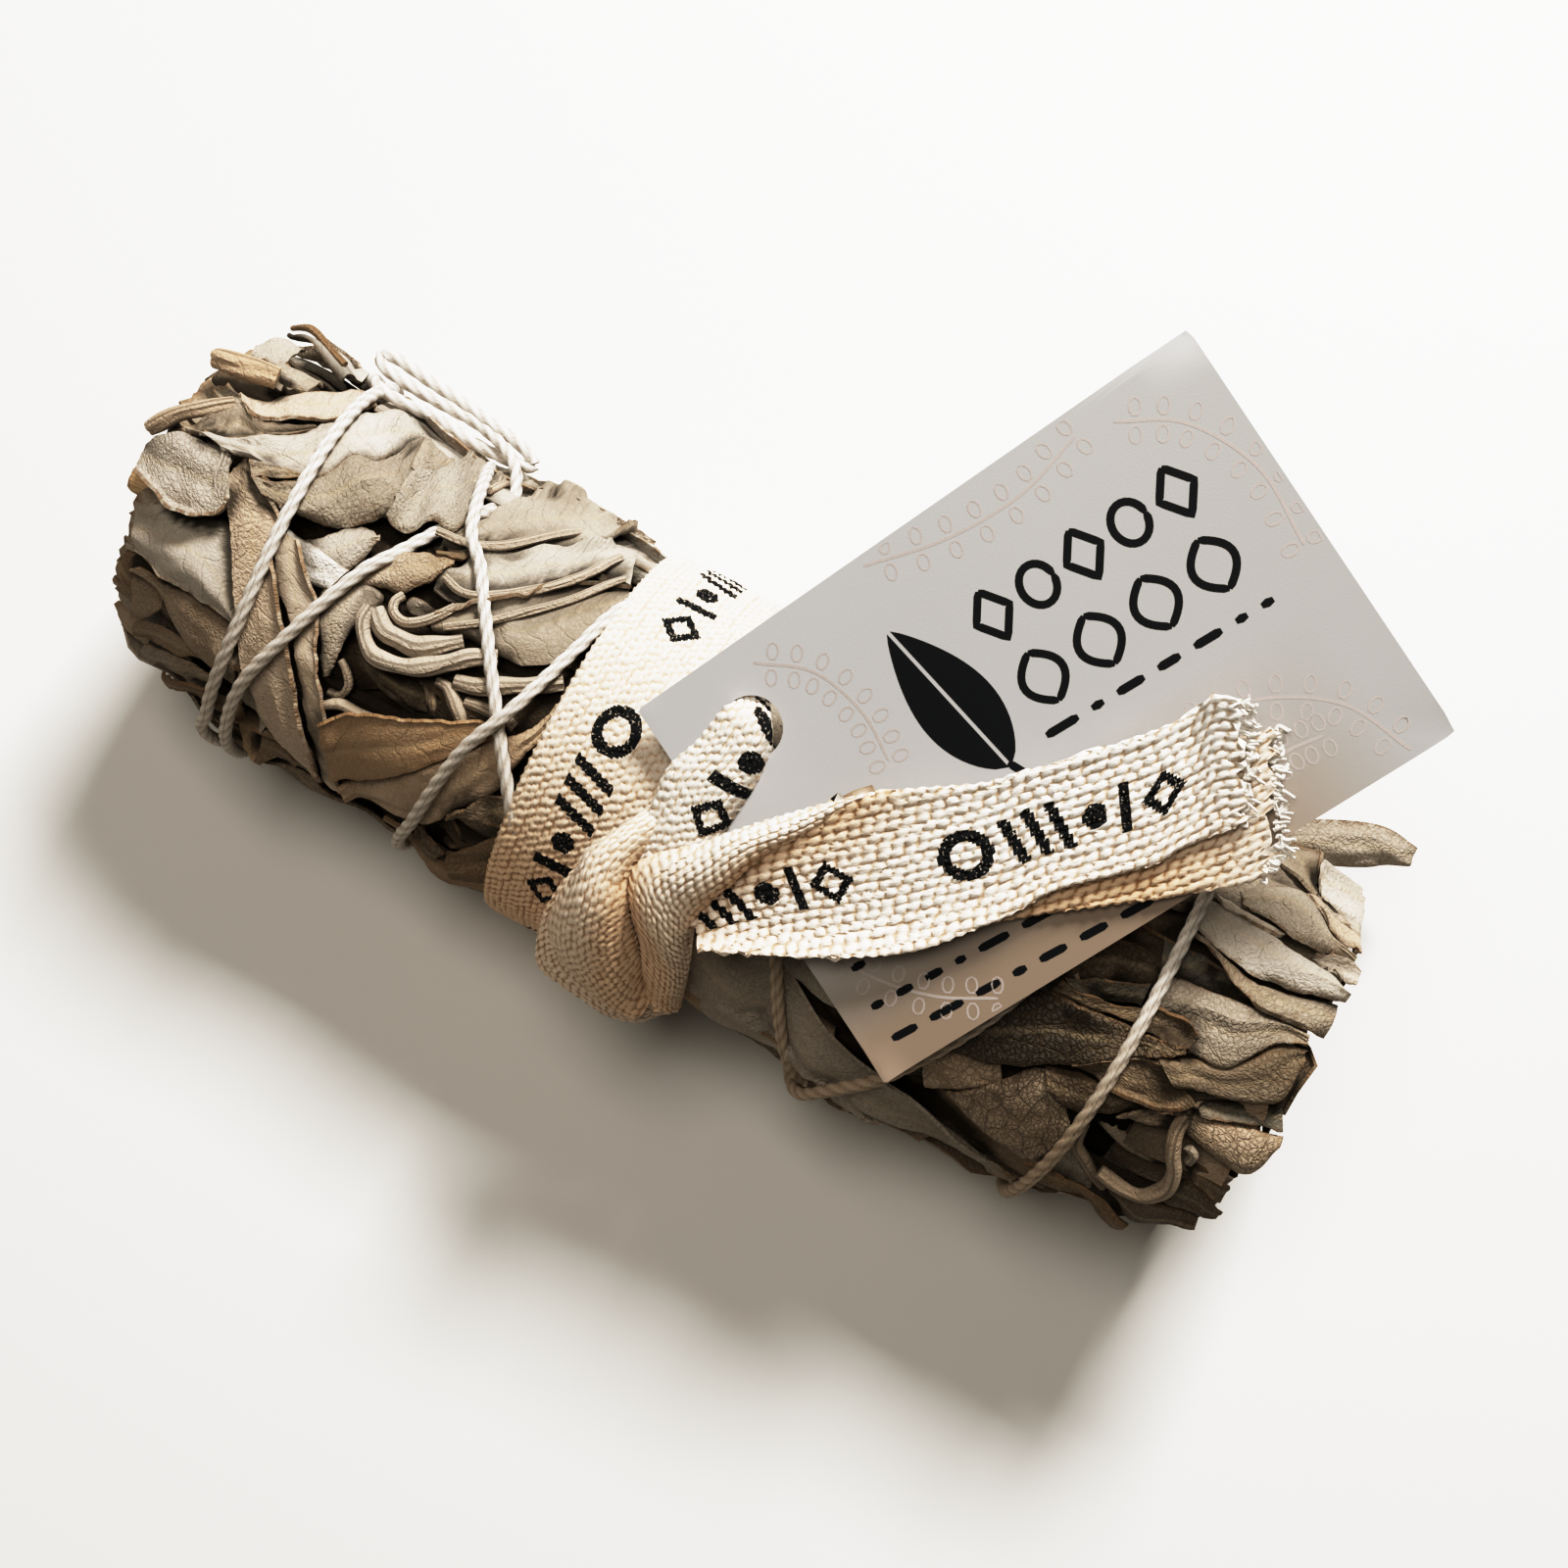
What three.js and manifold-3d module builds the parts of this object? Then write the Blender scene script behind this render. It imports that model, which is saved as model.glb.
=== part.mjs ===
// A bunch of dried white sage, wound with cotton twine and tied with a woven cotton tape that
// carries a card tag. It lies on its side, on a strip pressed flat by its own weight.
//
// Frame, in millimetres: +X runs along the bunch from its butt end to its leafy end, +Z is up,
// -Y is the front, where the knot is. The origin is on the flat strip underneath.
// A place on the bunch is written as (x, angle): the angle turns round the X axis, 0 is the top,
// and it grows towards the front, so 90 is the front, 180 the underside and 270 the back.

import * as THREE from 'three';
import { mergeVertices } from 'three/addons/utils/BufferGeometryUtils.js';
import Module from 'manifold-3d';

// ---------------------------------------------------------------- driving dimensions

const AXIS_HEIGHT = 24.15;        // of the bunch's middle over the ground
const UNDERSIDE_RADIUS = 24.75;   // below the middle the leaves sag to this, and are pressed flat
const BUTT_END = -71;             // where the packed core stops, at the stems
const LEAFY_END = 73;             // and at the cut leaves

// x, how far the middle of the section stands back (+Y), and its radius over the leaves
const OUTLINE = [
  [-78, 3.0, 19.5],
  [-70, 1.2, 23.0],
  [-60, -0.4, 23.8],
  [-43, -1.8, 22.2],
  [-25, -2.7, 22.1],
  [-10, -2.0, 22.4],
  [8, -1.0, 21.4],
  [18, -0.9, 22.4],
  [28, -1.2, 25.2],
  [40, -0.6, 25.0],
  [55, -0.5, 25.8],
  [66, 0.0, 25.3],
  [74, 1.0, 24.0],
  [80, 1.5, 21.5],
];

const CORE_INSET = 2.6;           // the core's skin under the outline
const CORE_STEP = 9;              // spacing of the core's rings
const CORE_SIDES = 18;
const LEAF_STEPS = 5;             // spans along a blade
const LEAF_SINK = 4.5;            // how deep a blade's spine is rooted under the outline
const CUT_FROM = 66;              // leaves that reach this far along are cut off square
const TUBE_GAP = 0.35;            // clear space kept round twine and stems

const TWINE_RADIUS = 0.9;
const TWINE_SIDES = 5;
const TWINE_STEP = 6;
const TWINE_LIFT = 0.5 + TWINE_RADIUS;
const TWINE_LOWEST = 2.5;         // the twine's middle, where it passes under the bunch
const TWINE_HUMP = 2.5;           // rise of one pass of twine over another
const TWINE_HUMP_SPREAD = 17;     // degrees to each side

const TAPE_WIDTH = 15;
const TAPE_THICK = 1.0;
const TAPE_X = -9.5;              // the middle of the band round the bunch
const TAPE_LIFT = 3.3;            // the band's middle layer over the leaves: twine runs under it
const TAPE_LOWEST = 0.7;

const TAG_LENGTH = 71.3;
const TAG_WIDTH = 49.4;
const TAG_THICK = 0.6;
const TAG_CORNER = new THREE.Vector3(-8.0, -1.05, 51.9);
const TAG_ALONG = new THREE.Vector3(0.4756, 0.8088, 0.3455).normalize();
const TAG_TILT_SIDE = new THREE.Vector3(0.8782, -0.4594, -0.1335);
const HOLE_RADIUS = 3.5;
const HOLE_AT = [9.8, 8.7];       // on the tag, from its corner, along and across

const wasm = await Module();
wasm.setup();

// ---------------------------------------------------------------- helpers

// A repeatable random stream.
function seeded(seed) {
  let state = seed;
  return () => {
    state = (state * 1664525 + 1013904223) % 4294967296;
    return state / 4294967296;
  };
}

const between = (random, low, high) => low + (high - low) * random();
const radians = THREE.MathUtils.degToRad;

// Straight interpolation in rows of [key, value, value ...], smoothed at the rows.
function read(rows, key, column) {
  const last = rows.length - 1;
  if (key <= rows[0][0]) return rows[0][column];
  if (key >= rows[last][0]) return rows[last][column];
  const next = rows.findIndex((row) => row[0] > key);
  const part = (key - rows[next - 1][0]) / (rows[next][0] - rows[next - 1][0]);
  const eased = part * part * (3 - 2 * part);
  return rows[next - 1][column] + (rows[next][column] - rows[next - 1][column]) * eased;
}

// The point of the bunch at x and an angle in degrees, raised by lift over its leaves.
function onBunch(x, angle, lift = 0) {
  const turn = radians(angle);
  const radius = read(OUTLINE, x, 2);
  const sagging = Math.cos(turn) < 0;
  const down = Math.min(UNDERSIDE_RADIUS, radius + 3);
  const vertical = (sagging ? down : radius) + lift;
  return new THREE.Vector3(
    x,
    read(OUTLINE, x, 1) - (radius + lift) * Math.sin(turn),
    AXIS_HEIGHT + vertical * Math.cos(turn),
  );
}

// A point on the tag's plane, from its corner, raised along its upper normal.
const tagAcross = TAG_TILT_SIDE.clone()
  .addScaledVector(TAG_ALONG, -TAG_TILT_SIDE.dot(TAG_ALONG))
  .normalize();
const tagUp = new THREE.Vector3().crossVectors(tagAcross, TAG_ALONG).normalize();

function onTag(along, across, lift = 0) {
  return TAG_CORNER.clone()
    .addScaledVector(TAG_ALONG, along)
    .addScaledVector(tagAcross, across)
    .addScaledVector(tagUp, lift);
}

// Six times the volume inside a closed indexed geometry: below zero when it is inside out.
function signedVolume(geometry) {
  const corner = [new THREE.Vector3(), new THREE.Vector3(), new THREE.Vector3()];
  let sum = 0;
  for (let t = 0; t < geometry.index.count; t += 3) {
    corner.forEach((point, k) => (
      point.fromBufferAttribute(geometry.attributes.position, geometry.index.getX(t + k))
    ));
    sum += corner[0].dot(corner[1].clone().cross(corner[2]));
  }
  return sum;
}

// A closed skin over rings of points, with flat ends or closed on itself, its faces outwards.
function loft(rings, closedPath = false) {
  const sides = rings[0].length;
  const positions = rings.flat().flatMap((point) => [point.x, point.y, point.z]);
  const index = [];
  const spans = closedPath ? rings.length : rings.length - 1;
  for (let i = 0; i < spans; i += 1) {
    const here = i * sides;
    const next = ((i + 1) % rings.length) * sides;
    for (let j = 0; j < sides; j += 1) {
      const k = (j + 1) % sides;
      index.push(here + j, next + j, next + k, here + j, next + k, here + k);
    }
  }
  if (!closedPath) {
    const end = (rings.length - 1) * sides;
    for (let j = 1; j < sides - 1; j += 1) {
      index.push(0, j, j + 1, end, end + j + 1, end + j);
    }
  }
  const geometry = new THREE.BufferGeometry();
  geometry.setAttribute('position', new THREE.Float32BufferAttribute(positions, 3));
  geometry.setIndex(index);
  if (signedVolume(geometry) < 0) geometry.setIndex(index.reverse());
  return geometry;
}

// A closed geometry as a manifold solid, which joins and cuts.
function solid(geometry) {
  const bare = geometry.clone();
  bare.deleteAttribute('normal');
  bare.deleteAttribute('uv');
  const merged = mergeVertices(bare, 1e-4);
  const mesh = new wasm.Mesh({
    numProp: 3,
    vertProperties: Float32Array.from(merged.attributes.position.array),
    triVerts: Uint32Array.from(merged.index.array),
  });
  return new wasm.Manifold(mesh);
}

const join = (solids) => solids.reduce((sum, next) => sum.add(next));

function box(low, high) {
  const size = high.clone().sub(low);
  const middle = low.clone().add(high).multiplyScalar(0.5);
  return solid(new THREE.BoxGeometry(size.x, size.y, size.z).translate(...middle.toArray()));
}

// The largest body of a solid: loose scraps left by a cut are dropped.
function mainBody(whole) {
  const bodies = whole.decompose();
  return bodies.reduce((best, body) => (body.volume() > best.volume() ? body : best));
}

function mesh(name, geometry, colour, roughness) {
  const material = new THREE.MeshStandardMaterial({ color: colour, roughness, metalness: 0 });
  const made = new THREE.Mesh(geometry, material);
  made.name = name;
  return made;
}

function meshOf(name, shape, colour, roughness) {
  const { vertProperties, triVerts } = shape.getMesh();
  const geometry = new THREE.BufferGeometry();
  geometry.setAttribute('position', new THREE.BufferAttribute(vertProperties, 3));
  geometry.setIndex(new THREE.BufferAttribute(triVerts, 1));
  return mesh(name, geometry, colour, roughness);
}

// Rings of a round section carried along points, with no twist between neighbours.
function tubeRings(points, radius, sides) {
  const count = points.length;
  const at = (i) => points[THREE.MathUtils.clamp(i, 0, count - 1)];
  let side = new THREE.Vector3(0.3, 0.2, 1);
  return points.map((point, i) => {
    const ahead = at(i + 1).clone().sub(at(i - 1)).normalize();
    side = side.clone().addScaledVector(ahead, -side.dot(ahead)).normalize();
    const other = new THREE.Vector3().crossVectors(ahead, side);
    return Array.from({ length: sides }, (_, j) => {
      const turn = (2 * Math.PI * j) / sides;
      return point.clone()
        .addScaledVector(side, radius * Math.cos(turn))
        .addScaledVector(other, radius * Math.sin(turn));
    });
  });
}

// Rings of a flat strap. Each station is { point, across, width, thick }: across is the unit
// direction of its width.
function strapRings(stations, closedPath = false) {
  const count = stations.length;
  return stations.map((station, i) => {
    const before = closedPath ? (i - 1 + count) % count : Math.max(i - 1, 0);
    const after = closedPath ? (i + 1) % count : Math.min(i + 1, count - 1);
    const ahead = stations[after].point.clone().sub(stations[before].point).normalize();
    const across = station.across.clone().addScaledVector(ahead, -station.across.dot(ahead)).normalize();
    const up = new THREE.Vector3().crossVectors(ahead, across);
    const corners = [[-1, -1], [1, -1], [1, 1], [-1, 1]];
    return corners.map(([a, b]) => station.point.clone()
      .addScaledVector(across, (a * station.width) / 2)
      .addScaledVector(up, (b * station.thick) / 2));
  });
}

// ---------------------------------------------------------------- sage leaves

// The packed inner leaves: a lumpy core, flat underneath, that the outer blades stand out of.
function packedCore() {
  const rings = [];
  const spans = Math.round((LEAFY_END - BUTT_END) / CORE_STEP);
  for (let i = 0; i <= spans; i += 1) {
    const x = BUTT_END + ((LEAFY_END - BUTT_END) * i) / spans;
    const ring = [];
    for (let j = 0; j < CORE_SIDES; j += 1) {
      const angle = (360 * j) / CORE_SIDES;
      const lump = 0.35 * Math.sin(0.21 * x + radians(3 * angle)) * Math.cos(radians(5 * angle) - 0.13 * x);
      const sag = Math.max(0, -Math.cos(radians(angle))) ** 6;
      ring.push(onBunch(x, angle, (lump - CORE_INSET) * (1 - sag) - 0.1 * sag));
    }
    rings.push(ring);
  }
  return solid(loft(rings));
}

// A lance-shaped blade pressed on the bunch from one place to another. Its two edges stand free
// of the core, its crest is a little higher, and its spine is rooted in the core. The outline
// waves a little. It narrows to a tip, but a leaf that reaches an end of the bunch is cut there
// and stays broad.
function pressedLeaf({ from, to, width, bow = 0, lift = 0, wave = 0 }) {
  const rings = [];
  const radius = read(OUTLINE, (from[0] + to[0]) / 2, 2);
  const run = new THREE.Vector2(to[0] - from[0], radians(to[1] - from[1]) * radius);
  const side = new THREE.Vector2(-run.y, run.x).normalize();
  const place = (t, offset, height) => {
    const x = from[0] + (to[0] - from[0]) * t + side.x * offset;
    const angle = from[1] + (to[1] - from[1]) * t + THREE.MathUtils.radToDeg((side.y * offset) / radius);
    return onBunch(x, angle, height);
  };
  const cut = Math.abs(to[0]) > CUT_FROM;
  for (let i = 0; i <= LEAF_STEPS; i += 1) {
    const t = i / LEAF_STEPS;
    const swell = cut ? 0.2 + 0.5 * t : 0.35 + 0.65 * t;
    const fullness = Math.max(Math.sin(Math.PI * swell), 0.07);
    const half = (width / 2) * fullness * (1 + wave * Math.sin(9 * t + wave * 40));
    const middle = bow * Math.sin(Math.PI * t);
    rings.push([
      place(t, middle - half, lift - 0.8),
      place(t, middle, lift - 0.1),
      place(t, middle + half, lift - 0.7),
      place(t, middle, lift - LEAF_SINK),
    ]);
  }
  return solid(loft(rings));
}

// The blades that give the side in view its layers: start and end as (x, angle), width, bow.
const SHOWN_LEAVES = [
  [[-49, 24], [-73, 44], 26, 1, -0.4],
  [[-52, 62], [-73, 56], 15, 0, -0.6],
  [[-54, 88], [-73, 80], 14, 0, -0.5],
  [[-50, -70], [-71, -14], 24, -2, 0],
  [[-38, -30], [-67, -4], 18, 2, 0],
  [[-36, -70], [-47, -8], 17, 1, 0],
  [[-47, 100], [-63, -14], 12, 2, 0.1],
  [[-38, 84], [-50, 22], 13, -1, -0.2],
  [[-37, 104], [-45, 12], 12, 1, -0.3],
  [[-44, 42], [-40, 2], 15, 0, -0.2],
  [[-9, -74], [-41, -10], 14, 2, -0.1],
  [[-8, -48], [-37, -2], 12, 0, 0],
  [[-12, -22], [-41, 16], 16, -2, -0.1],
  [[-20, 8], [-42, 24], 9, 3, 0],
  [[-14, 22], [-44, 56], 17, 0, 0],
  [[-12, 34], [-42, 92], 17, -2, -0.1],
  [[-8, 60], [-28, 76], 13, 0, -0.2],
  [[-8, 88], [-34, 100], 14, 0, -0.2],
  [[36, 62], [68, 2], 19, 0, 0],
  [[50, 12], [77, -8], 16, 1, 0],
  [[52, 26], [76, 6], 13, 0, 0.1],
  [[50, -12], [79, -24], 12, 1, 0],
  [[46, -30], [79, -36], 12, -1, 0],
  [[50, -52], [78, -50], 13, 0, 0],
  [[48, 44], [72, 24], 16, 0, -0.2],
  [[36, 66], [64, 74], 20, 0, -0.1],
  [[46, 44], [78, 34], 18, 0, -0.2],
  [[50, 96], [78, 62], 13, 0, -0.1],
  [[40, 96], [74, 80], 14, 0, -0.2],
  [[24, 84], [50, 52], 16, 0, -0.1],
  [[26, 98], [60, 94], 14, 0, -0.1],
  [[2, 92], [30, 76], 15, 0, -0.3],
  [[4, 50], [34, 62], 15, 2, -0.3],
  [[-4, 4], [36, -12], 20, 0, -0.2],
  [[6, 26], [42, 22], 18, -1, -0.2],
];

// Blades round the rest of the bunch, in rows that overlap like tiles, drawn at random.
function tiledLeaves(random) {
  const leaves = [];
  const rows = [-60, -34, -6, 24, 52];
  rows.forEach((x, row) => {
    const count = 6;
    for (let i = 0; i < count; i += 1) {
      const angle = 104 + (212 * (i + (row % 2) / 2)) / count;
      const length = between(random, 32, 44);
      const lean = between(random, -16, 16);
      const towards = row < 2 ? -1 : 1;
      const start = x - (towards * length) / 2;
      leaves.push(pressedLeaf({
        from: [start, angle - lean / 2],
        to: [Math.min(Math.max(start + towards * length, -75), 78.5), angle + lean / 2],
        width: between(random, 13, 19),
        bow: between(random, -2, 2),
        lift: between(random, -0.4, 0),
        wave: between(random, -0.1, 0.1),
      }));
    }
  });
  return leaves;
}

// A cut leaf seen on end: an arc of blade standing out of an end face of the core.
function cutLeaf({ end, out, middle, radius, start, sweep }) {
  const steps = 4;
  const thick = 0.8;
  const rings = [];
  for (let i = 0; i <= steps; i += 1) {
    const turn = radians(start + (sweep * i) / steps);
    const spoke = new THREE.Vector3(0, -Math.sin(turn), Math.cos(turn));
    const inner = middle.clone().addScaledVector(spoke, radius - thick / 2);
    const outer = middle.clone().addScaledVector(spoke, radius + thick / 2);
    const root = end - Math.sign(out) * 4;
    const rim = end + out * (1 - 0.12 * Math.cos(3 * i));
    rings.push([
      inner.clone().setX(root),
      outer.clone().setX(root),
      outer.clone().setX(rim),
      inner.clone().setX(rim),
    ]);
  }
  return solid(loft(rings));
}

function cutLeaves(random, end, direction) {
  const leaves = [];
  const shells = [[4.5, 2], [10, 3], [15.5, 4]];
  shells.forEach(([radius, count]) => {
    for (let i = 0; i < count; i += 1) {
      const aside = between(random, 0, 2 * Math.PI);
      leaves.push(cutLeaf({
        end,
        out: direction * between(random, 1.4, 4),
        middle: new THREE.Vector3(
          0,
          read(OUTLINE, end, 1) + 1.2 * Math.cos(aside),
          AXIS_HEIGHT - 0.6 + 1.2 * Math.sin(aside),
        ),
        radius,
        start: (360 * i) / count + between(random, -12, 12),
        sweep: (360 / count) * between(random, 0.7, 1.05),
      }));
    }
  });
  return leaves;
}

// A leaf that has come away from the bunch at its leafy end and hangs from its back side.
function peelingLeaf() {
  const spine = new THREE.CatmullRomCurve3([
    new THREE.Vector3(50, 19, 20),
    new THREE.Vector3(62, 25.5, 17),
    new THREE.Vector3(72, 29.5, 14),
    new THREE.Vector3(82, 32, 12),
  ]);
  const steps = 6;
  const stations = [];
  for (let i = 0; i <= steps; i += 1) {
    const t = i / steps;
    stations.push({
      point: spine.getPoint(t),
      across: new THREE.Vector3(-0.15, 0.45, 0.88).normalize(),
      width: 8.5 * Math.max(Math.sin(Math.PI * (0.3 + 0.7 * t)), 0.16),
      thick: 0.9,
    });
  }
  return solid(loft(strapRings(stations)));
}

// ---------------------------------------------------------------- stems

// Cut stems at the butt end: depth is where the hole starts, out is the cut face.
const STEMS = [
  { name: 'stem_1', at: [-4.2, 16.6], radius: 1.9, out: -75.6 },
  { name: 'stem_2', at: [5.5, 3.5], radius: 2.2, out: -75.2 },
  { name: 'stem_3', at: [-6.5, -1.5], radius: 1.7, out: -74.4 },
  { name: 'stem_4', at: [0.5, -9.5], radius: 2.0, out: -76.0 },
  { name: 'stem_5', at: [10.5, -5.5], radius: 1.5, out: -74.8 },
];
const STEM_DEPTH = 22;
const STEM_SIDES = 10;

// A round bar of the given radius, from a cut face at x = from to x = to.
function bar(at, radius, from, to) {
  const centre = new THREE.Vector3(0, at[0] + read(OUTLINE, BUTT_END, 1), AXIS_HEIGHT + at[1]);
  const points = [from, to].map((x) => centre.clone().setX(x));
  return loft(tubeRings(points, radius, STEM_SIDES));
}

function stem({ name, at, radius, out }) {
  return mesh(name, bar(at, radius, out, BUTT_END + STEM_DEPTH), 0xb08a5e, 0.8);
}

const stemHole = ({ at, radius, out }) => (
  solid(bar(at, radius + TUBE_GAP, out - 4, BUTT_END + STEM_DEPTH + TUBE_GAP))
);

// ---------------------------------------------------------------- twine

// The twine's run as x, total angle (a full turn is 360) and lift over its usual height.
const TWINE_RUN = [
  [-57.6, -78, 0.4],
  [-57.1, -50, 0],
  [-54.9, -3, 0],
  [-54.4, 30, 0],
  [-56.0, 66, 0],
  [-57.4, 92, 0],
  [-52, 180, 0],
  [-44, 270, 0],
  [-37.6, 324, 0],
  [-33.0, 339, 0],
  [-27.0, 359, 0],
  [-21.9, 377, 0],
  [-17.2, 396, 0],
  [-14.2, 412, 0],
  [-10.2, 450, 0],
  [-4, 540, 0],
  [3, 585, 0],
  [6.4, 630, 0],
  [11, 720, 0],
  [18.7, 768, 0],
  [26.2, 812, 0],
  [42, 900, 0],
  [55.2, 982, 0],
  [56.9, 1022, 0],
  [56.8, 1070, 0],
  [56.7, 1103, 0],
  [56.1, 1130, 0],
  [54.6, 1172, 0],
  [53.6, 1260, 0],
  [52.2, 1350, 0],
  [46.2, 1440, 0],
  [36, 1495, 0],
  [27.2, 1532, 0],
  [12.5, 1620, 0],
  [3, 1665, 0],
  [-7.5, 1710, 0],
  [-16.3, 1765, 0],
  [-18.4, 1787, 0],
  [-20.8, 1809, 0],
  [-24.5, 1829, 0],
  [-27.4, 1860, 0],
  [-30.2, 1892, 0],
  [-33, 1980, 0],
  [-35, 2070, 0],
  [-38.6, 2118, 0],
  [-42.4, 2148, 0],
  [-45.7, 2167, 0],
  [-48.5, 2185, 0],
  [-52.0, 2208, 0],
  [-53.8, 2235, 0],
  [-54.9, 2255, 0],
  [-60, 2340, 0],
  [-61.2, 2430, 0],
  [-60.4, 2462, 1.2],
  [-55, 2463, 3.2],
  [-47, 2460, 4.0],
  [-41, 2455, 4.2],
  [-37.6, 2449, 3.8],
  [-38.6, 2441, 3.4],
  [-45, 2444, 3.4],
  [-52, 2450, 2.6],
];

// Where a later pass of twine rides over an earlier one: total angle of the upper pass.
const TWINE_OVER = [1325, 1533, 1665, 1814, 2117, 2279];

// The run is smoothed with the angle unrolled to millimetres, and the lift stretched like them.
const LIFT_STRETCH = 8;

function twinePoints() {
  const unroll = radians(AXIS_HEIGHT);
  const turns = new THREE.CatmullRomCurve3(
    TWINE_RUN.map(([x, angle, lift]) => new THREE.Vector3(x, unroll * angle, lift * LIFT_STRETCH)),
    false,
    'centripetal',
  );
  const count = Math.round(turns.getLength() / TWINE_STEP);
  return turns.getSpacedPoints(count).map((flat) => {
    const angle = flat.y / unroll;
    const humps = TWINE_OVER.map((over) => Math.exp(-(((angle - over) / TWINE_HUMP_SPREAD) ** 2)));
    const lift = TWINE_LIFT + flat.z / LIFT_STRETCH + TWINE_HUMP * Math.max(...humps);
    const point = onBunch(flat.x, angle, lift);
    point.z = Math.max(point.z, TWINE_LOWEST);
    return point;
  });
}

// The channel that the twine presses in the flat underside, open downwards.
function twineChannels(points) {
  const channels = [];
  let run = [];
  const flush = () => {
    if (run.length > 1) {
      const rings = run.map(({ point, aside }) => [
        point.clone().addScaledVector(aside, -1).setZ(-2),
        point.clone().addScaledVector(aside, 1).setZ(-2),
        point.clone().addScaledVector(aside, 1).setZ(point.z + TWINE_RADIUS + TUBE_GAP),
        point.clone().addScaledVector(aside, -1).setZ(point.z + TWINE_RADIUS + TUBE_GAP),
      ]);
      channels.push(solid(loft(rings)));
    }
    run = [];
  };
  points.forEach((point, i) => {
    const next = points[Math.min(i + 1, points.length - 1)];
    const last = points[Math.max(i - 1, 0)];
    const near = Math.min(point.z, next.z, last.z) < AXIS_HEIGHT / 3;
    if (!near) {
      flush();
      return;
    }
    const ahead = next.clone().sub(last).setZ(0).normalize();
    const aside = new THREE.Vector3(-ahead.y, ahead.x, 0).multiplyScalar(TWINE_RADIUS + TUBE_GAP);
    run.push({ point, aside });
  });
  flush();
  return channels;
}

const twineRoute = twinePoints();

const twine = () => mesh('twine', loft(tubeRings(twineRoute, TWINE_RADIUS, TWINE_SIDES)), 0xe9e4d8, 0.9);

// ---------------------------------------------------------------- the leaves as one body

function sageLeaves() {
  const random = seeded(41);
  const shown = SHOWN_LEAVES.map(([from, to, width, bow, lift]) => (
    pressedLeaf({ from, to, width, bow, lift, wave: between(random, -0.08, 0.08) })
  ));
  const packed = join([
    packedCore(),
    ...shown,
    ...tiledLeaves(random),
    ...cutLeaves(random, BUTT_END, -1),
    ...cutLeaves(random, LEAFY_END, 1),
    peelingLeaf(),
  ]);
  const below = box(new THREE.Vector3(-100, -60, -20), new THREE.Vector3(100, 60, 0));
  const bandChannel = box(new THREE.Vector3(-19.2, -12, -2), new THREE.Vector3(-2.6, 12, 1.6));
  const cuts = [below, bandChannel, ...twineChannels(twineRoute), ...STEMS.map(stemHole)];
  return meshOf('sage_leaves', mainBody(packed.subtract(join(cuts))), 0xa39c80, 0.9);
}

// ---------------------------------------------------------------- cotton tape

// The band round the bunch, over the twine.
function tapeBand() {
  const stations = [];
  for (let angle = 0; angle < 360; angle += 12) {
    const under = Math.max(0, -Math.cos(radians(angle)));
    const point = onBunch(TAPE_X - 1.4 * under, angle, TAPE_LIFT);
    point.z = Math.max(point.z, TAPE_LOWEST);
    stations.push({ point, across: new THREE.Vector3(1, 0, 0), width: TAPE_WIDTH, thick: TAPE_THICK });
  }
  return solid(loft(strapRings(stations, true)));
}

const KNOT_CENTRE = new THREE.Vector3(1.0, -21.0, 45.6);
const knotOut = new THREE.Vector3(0.1, -0.62, 0.78).normalize();
const knotAlong = new THREE.Vector3(0.62, -0.55, -0.56);

// A strap whose stations are read from rows of [point, across, width, thick], spaced evenly.
function strap(rows, steps) {
  const route = new THREE.CatmullRomCurve3(rows.map((row) => row.point), false, 'centripetal');
  const stations = [];
  for (let i = 0; i <= steps; i += 1) {
    const t = i / steps;
    const slot = Math.min(Math.floor(t * (rows.length - 1)), rows.length - 2);
    const part = t * (rows.length - 1) - slot;
    const here = rows[slot];
    const next = rows[slot + 1];
    stations.push({
      point: route.getPoint(t),
      across: here.across.clone().lerp(next.across, part).normalize(),
      width: here.width + (next.width - here.width) * part,
      thick: here.thick + (next.thick - here.thick) * part,
    });
  }
  return solid(loft(strapRings(stations)));
}

// The second wrap leaves the band at the back, comes up through the tag's hole folded narrow,
// and runs over the tag's edge into the knot.
function tapeThroughTag() {
  const along = new THREE.Vector3(1, 0, 0);
  const hole = onTag(HOLE_AT[0], HOLE_AT[1]);
  const alongHole = tagAcross.clone().lerp(TAG_ALONG, -0.35).normalize();
  return strap([
    { point: onBunch(TAPE_X, -58, TAPE_LIFT + 0.6), across: along, width: 14, thick: 1.2 },
    { point: onBunch(TAPE_X + 2, -34, TAPE_LIFT + 0.9), across: along, width: 13, thick: 1.2 },
    { point: new THREE.Vector3(0.8, 8.6, 49.4), across: along, width: 9, thick: 1.4 },
    { point: hole.clone().addScaledVector(tagUp, -1.4), across: alongHole, width: 5.2, thick: 1.4 },
    { point: hole.clone().addScaledVector(tagUp, 0.9), across: alongHole, width: 5.2, thick: 1.4 },
    { point: onTag(4.6, 10.6, 1.7), across: alongHole, width: 6.2, thick: 1.3 },
    { point: new THREE.Vector3(0.4, -9.0, 51.0), across: along, width: 9, thick: 1.4 },
    { point: KNOT_CENTRE.clone().addScaledVector(knotOut, 2.2), across: along, width: 11, thick: 3 },
  ], 26);
}

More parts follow.
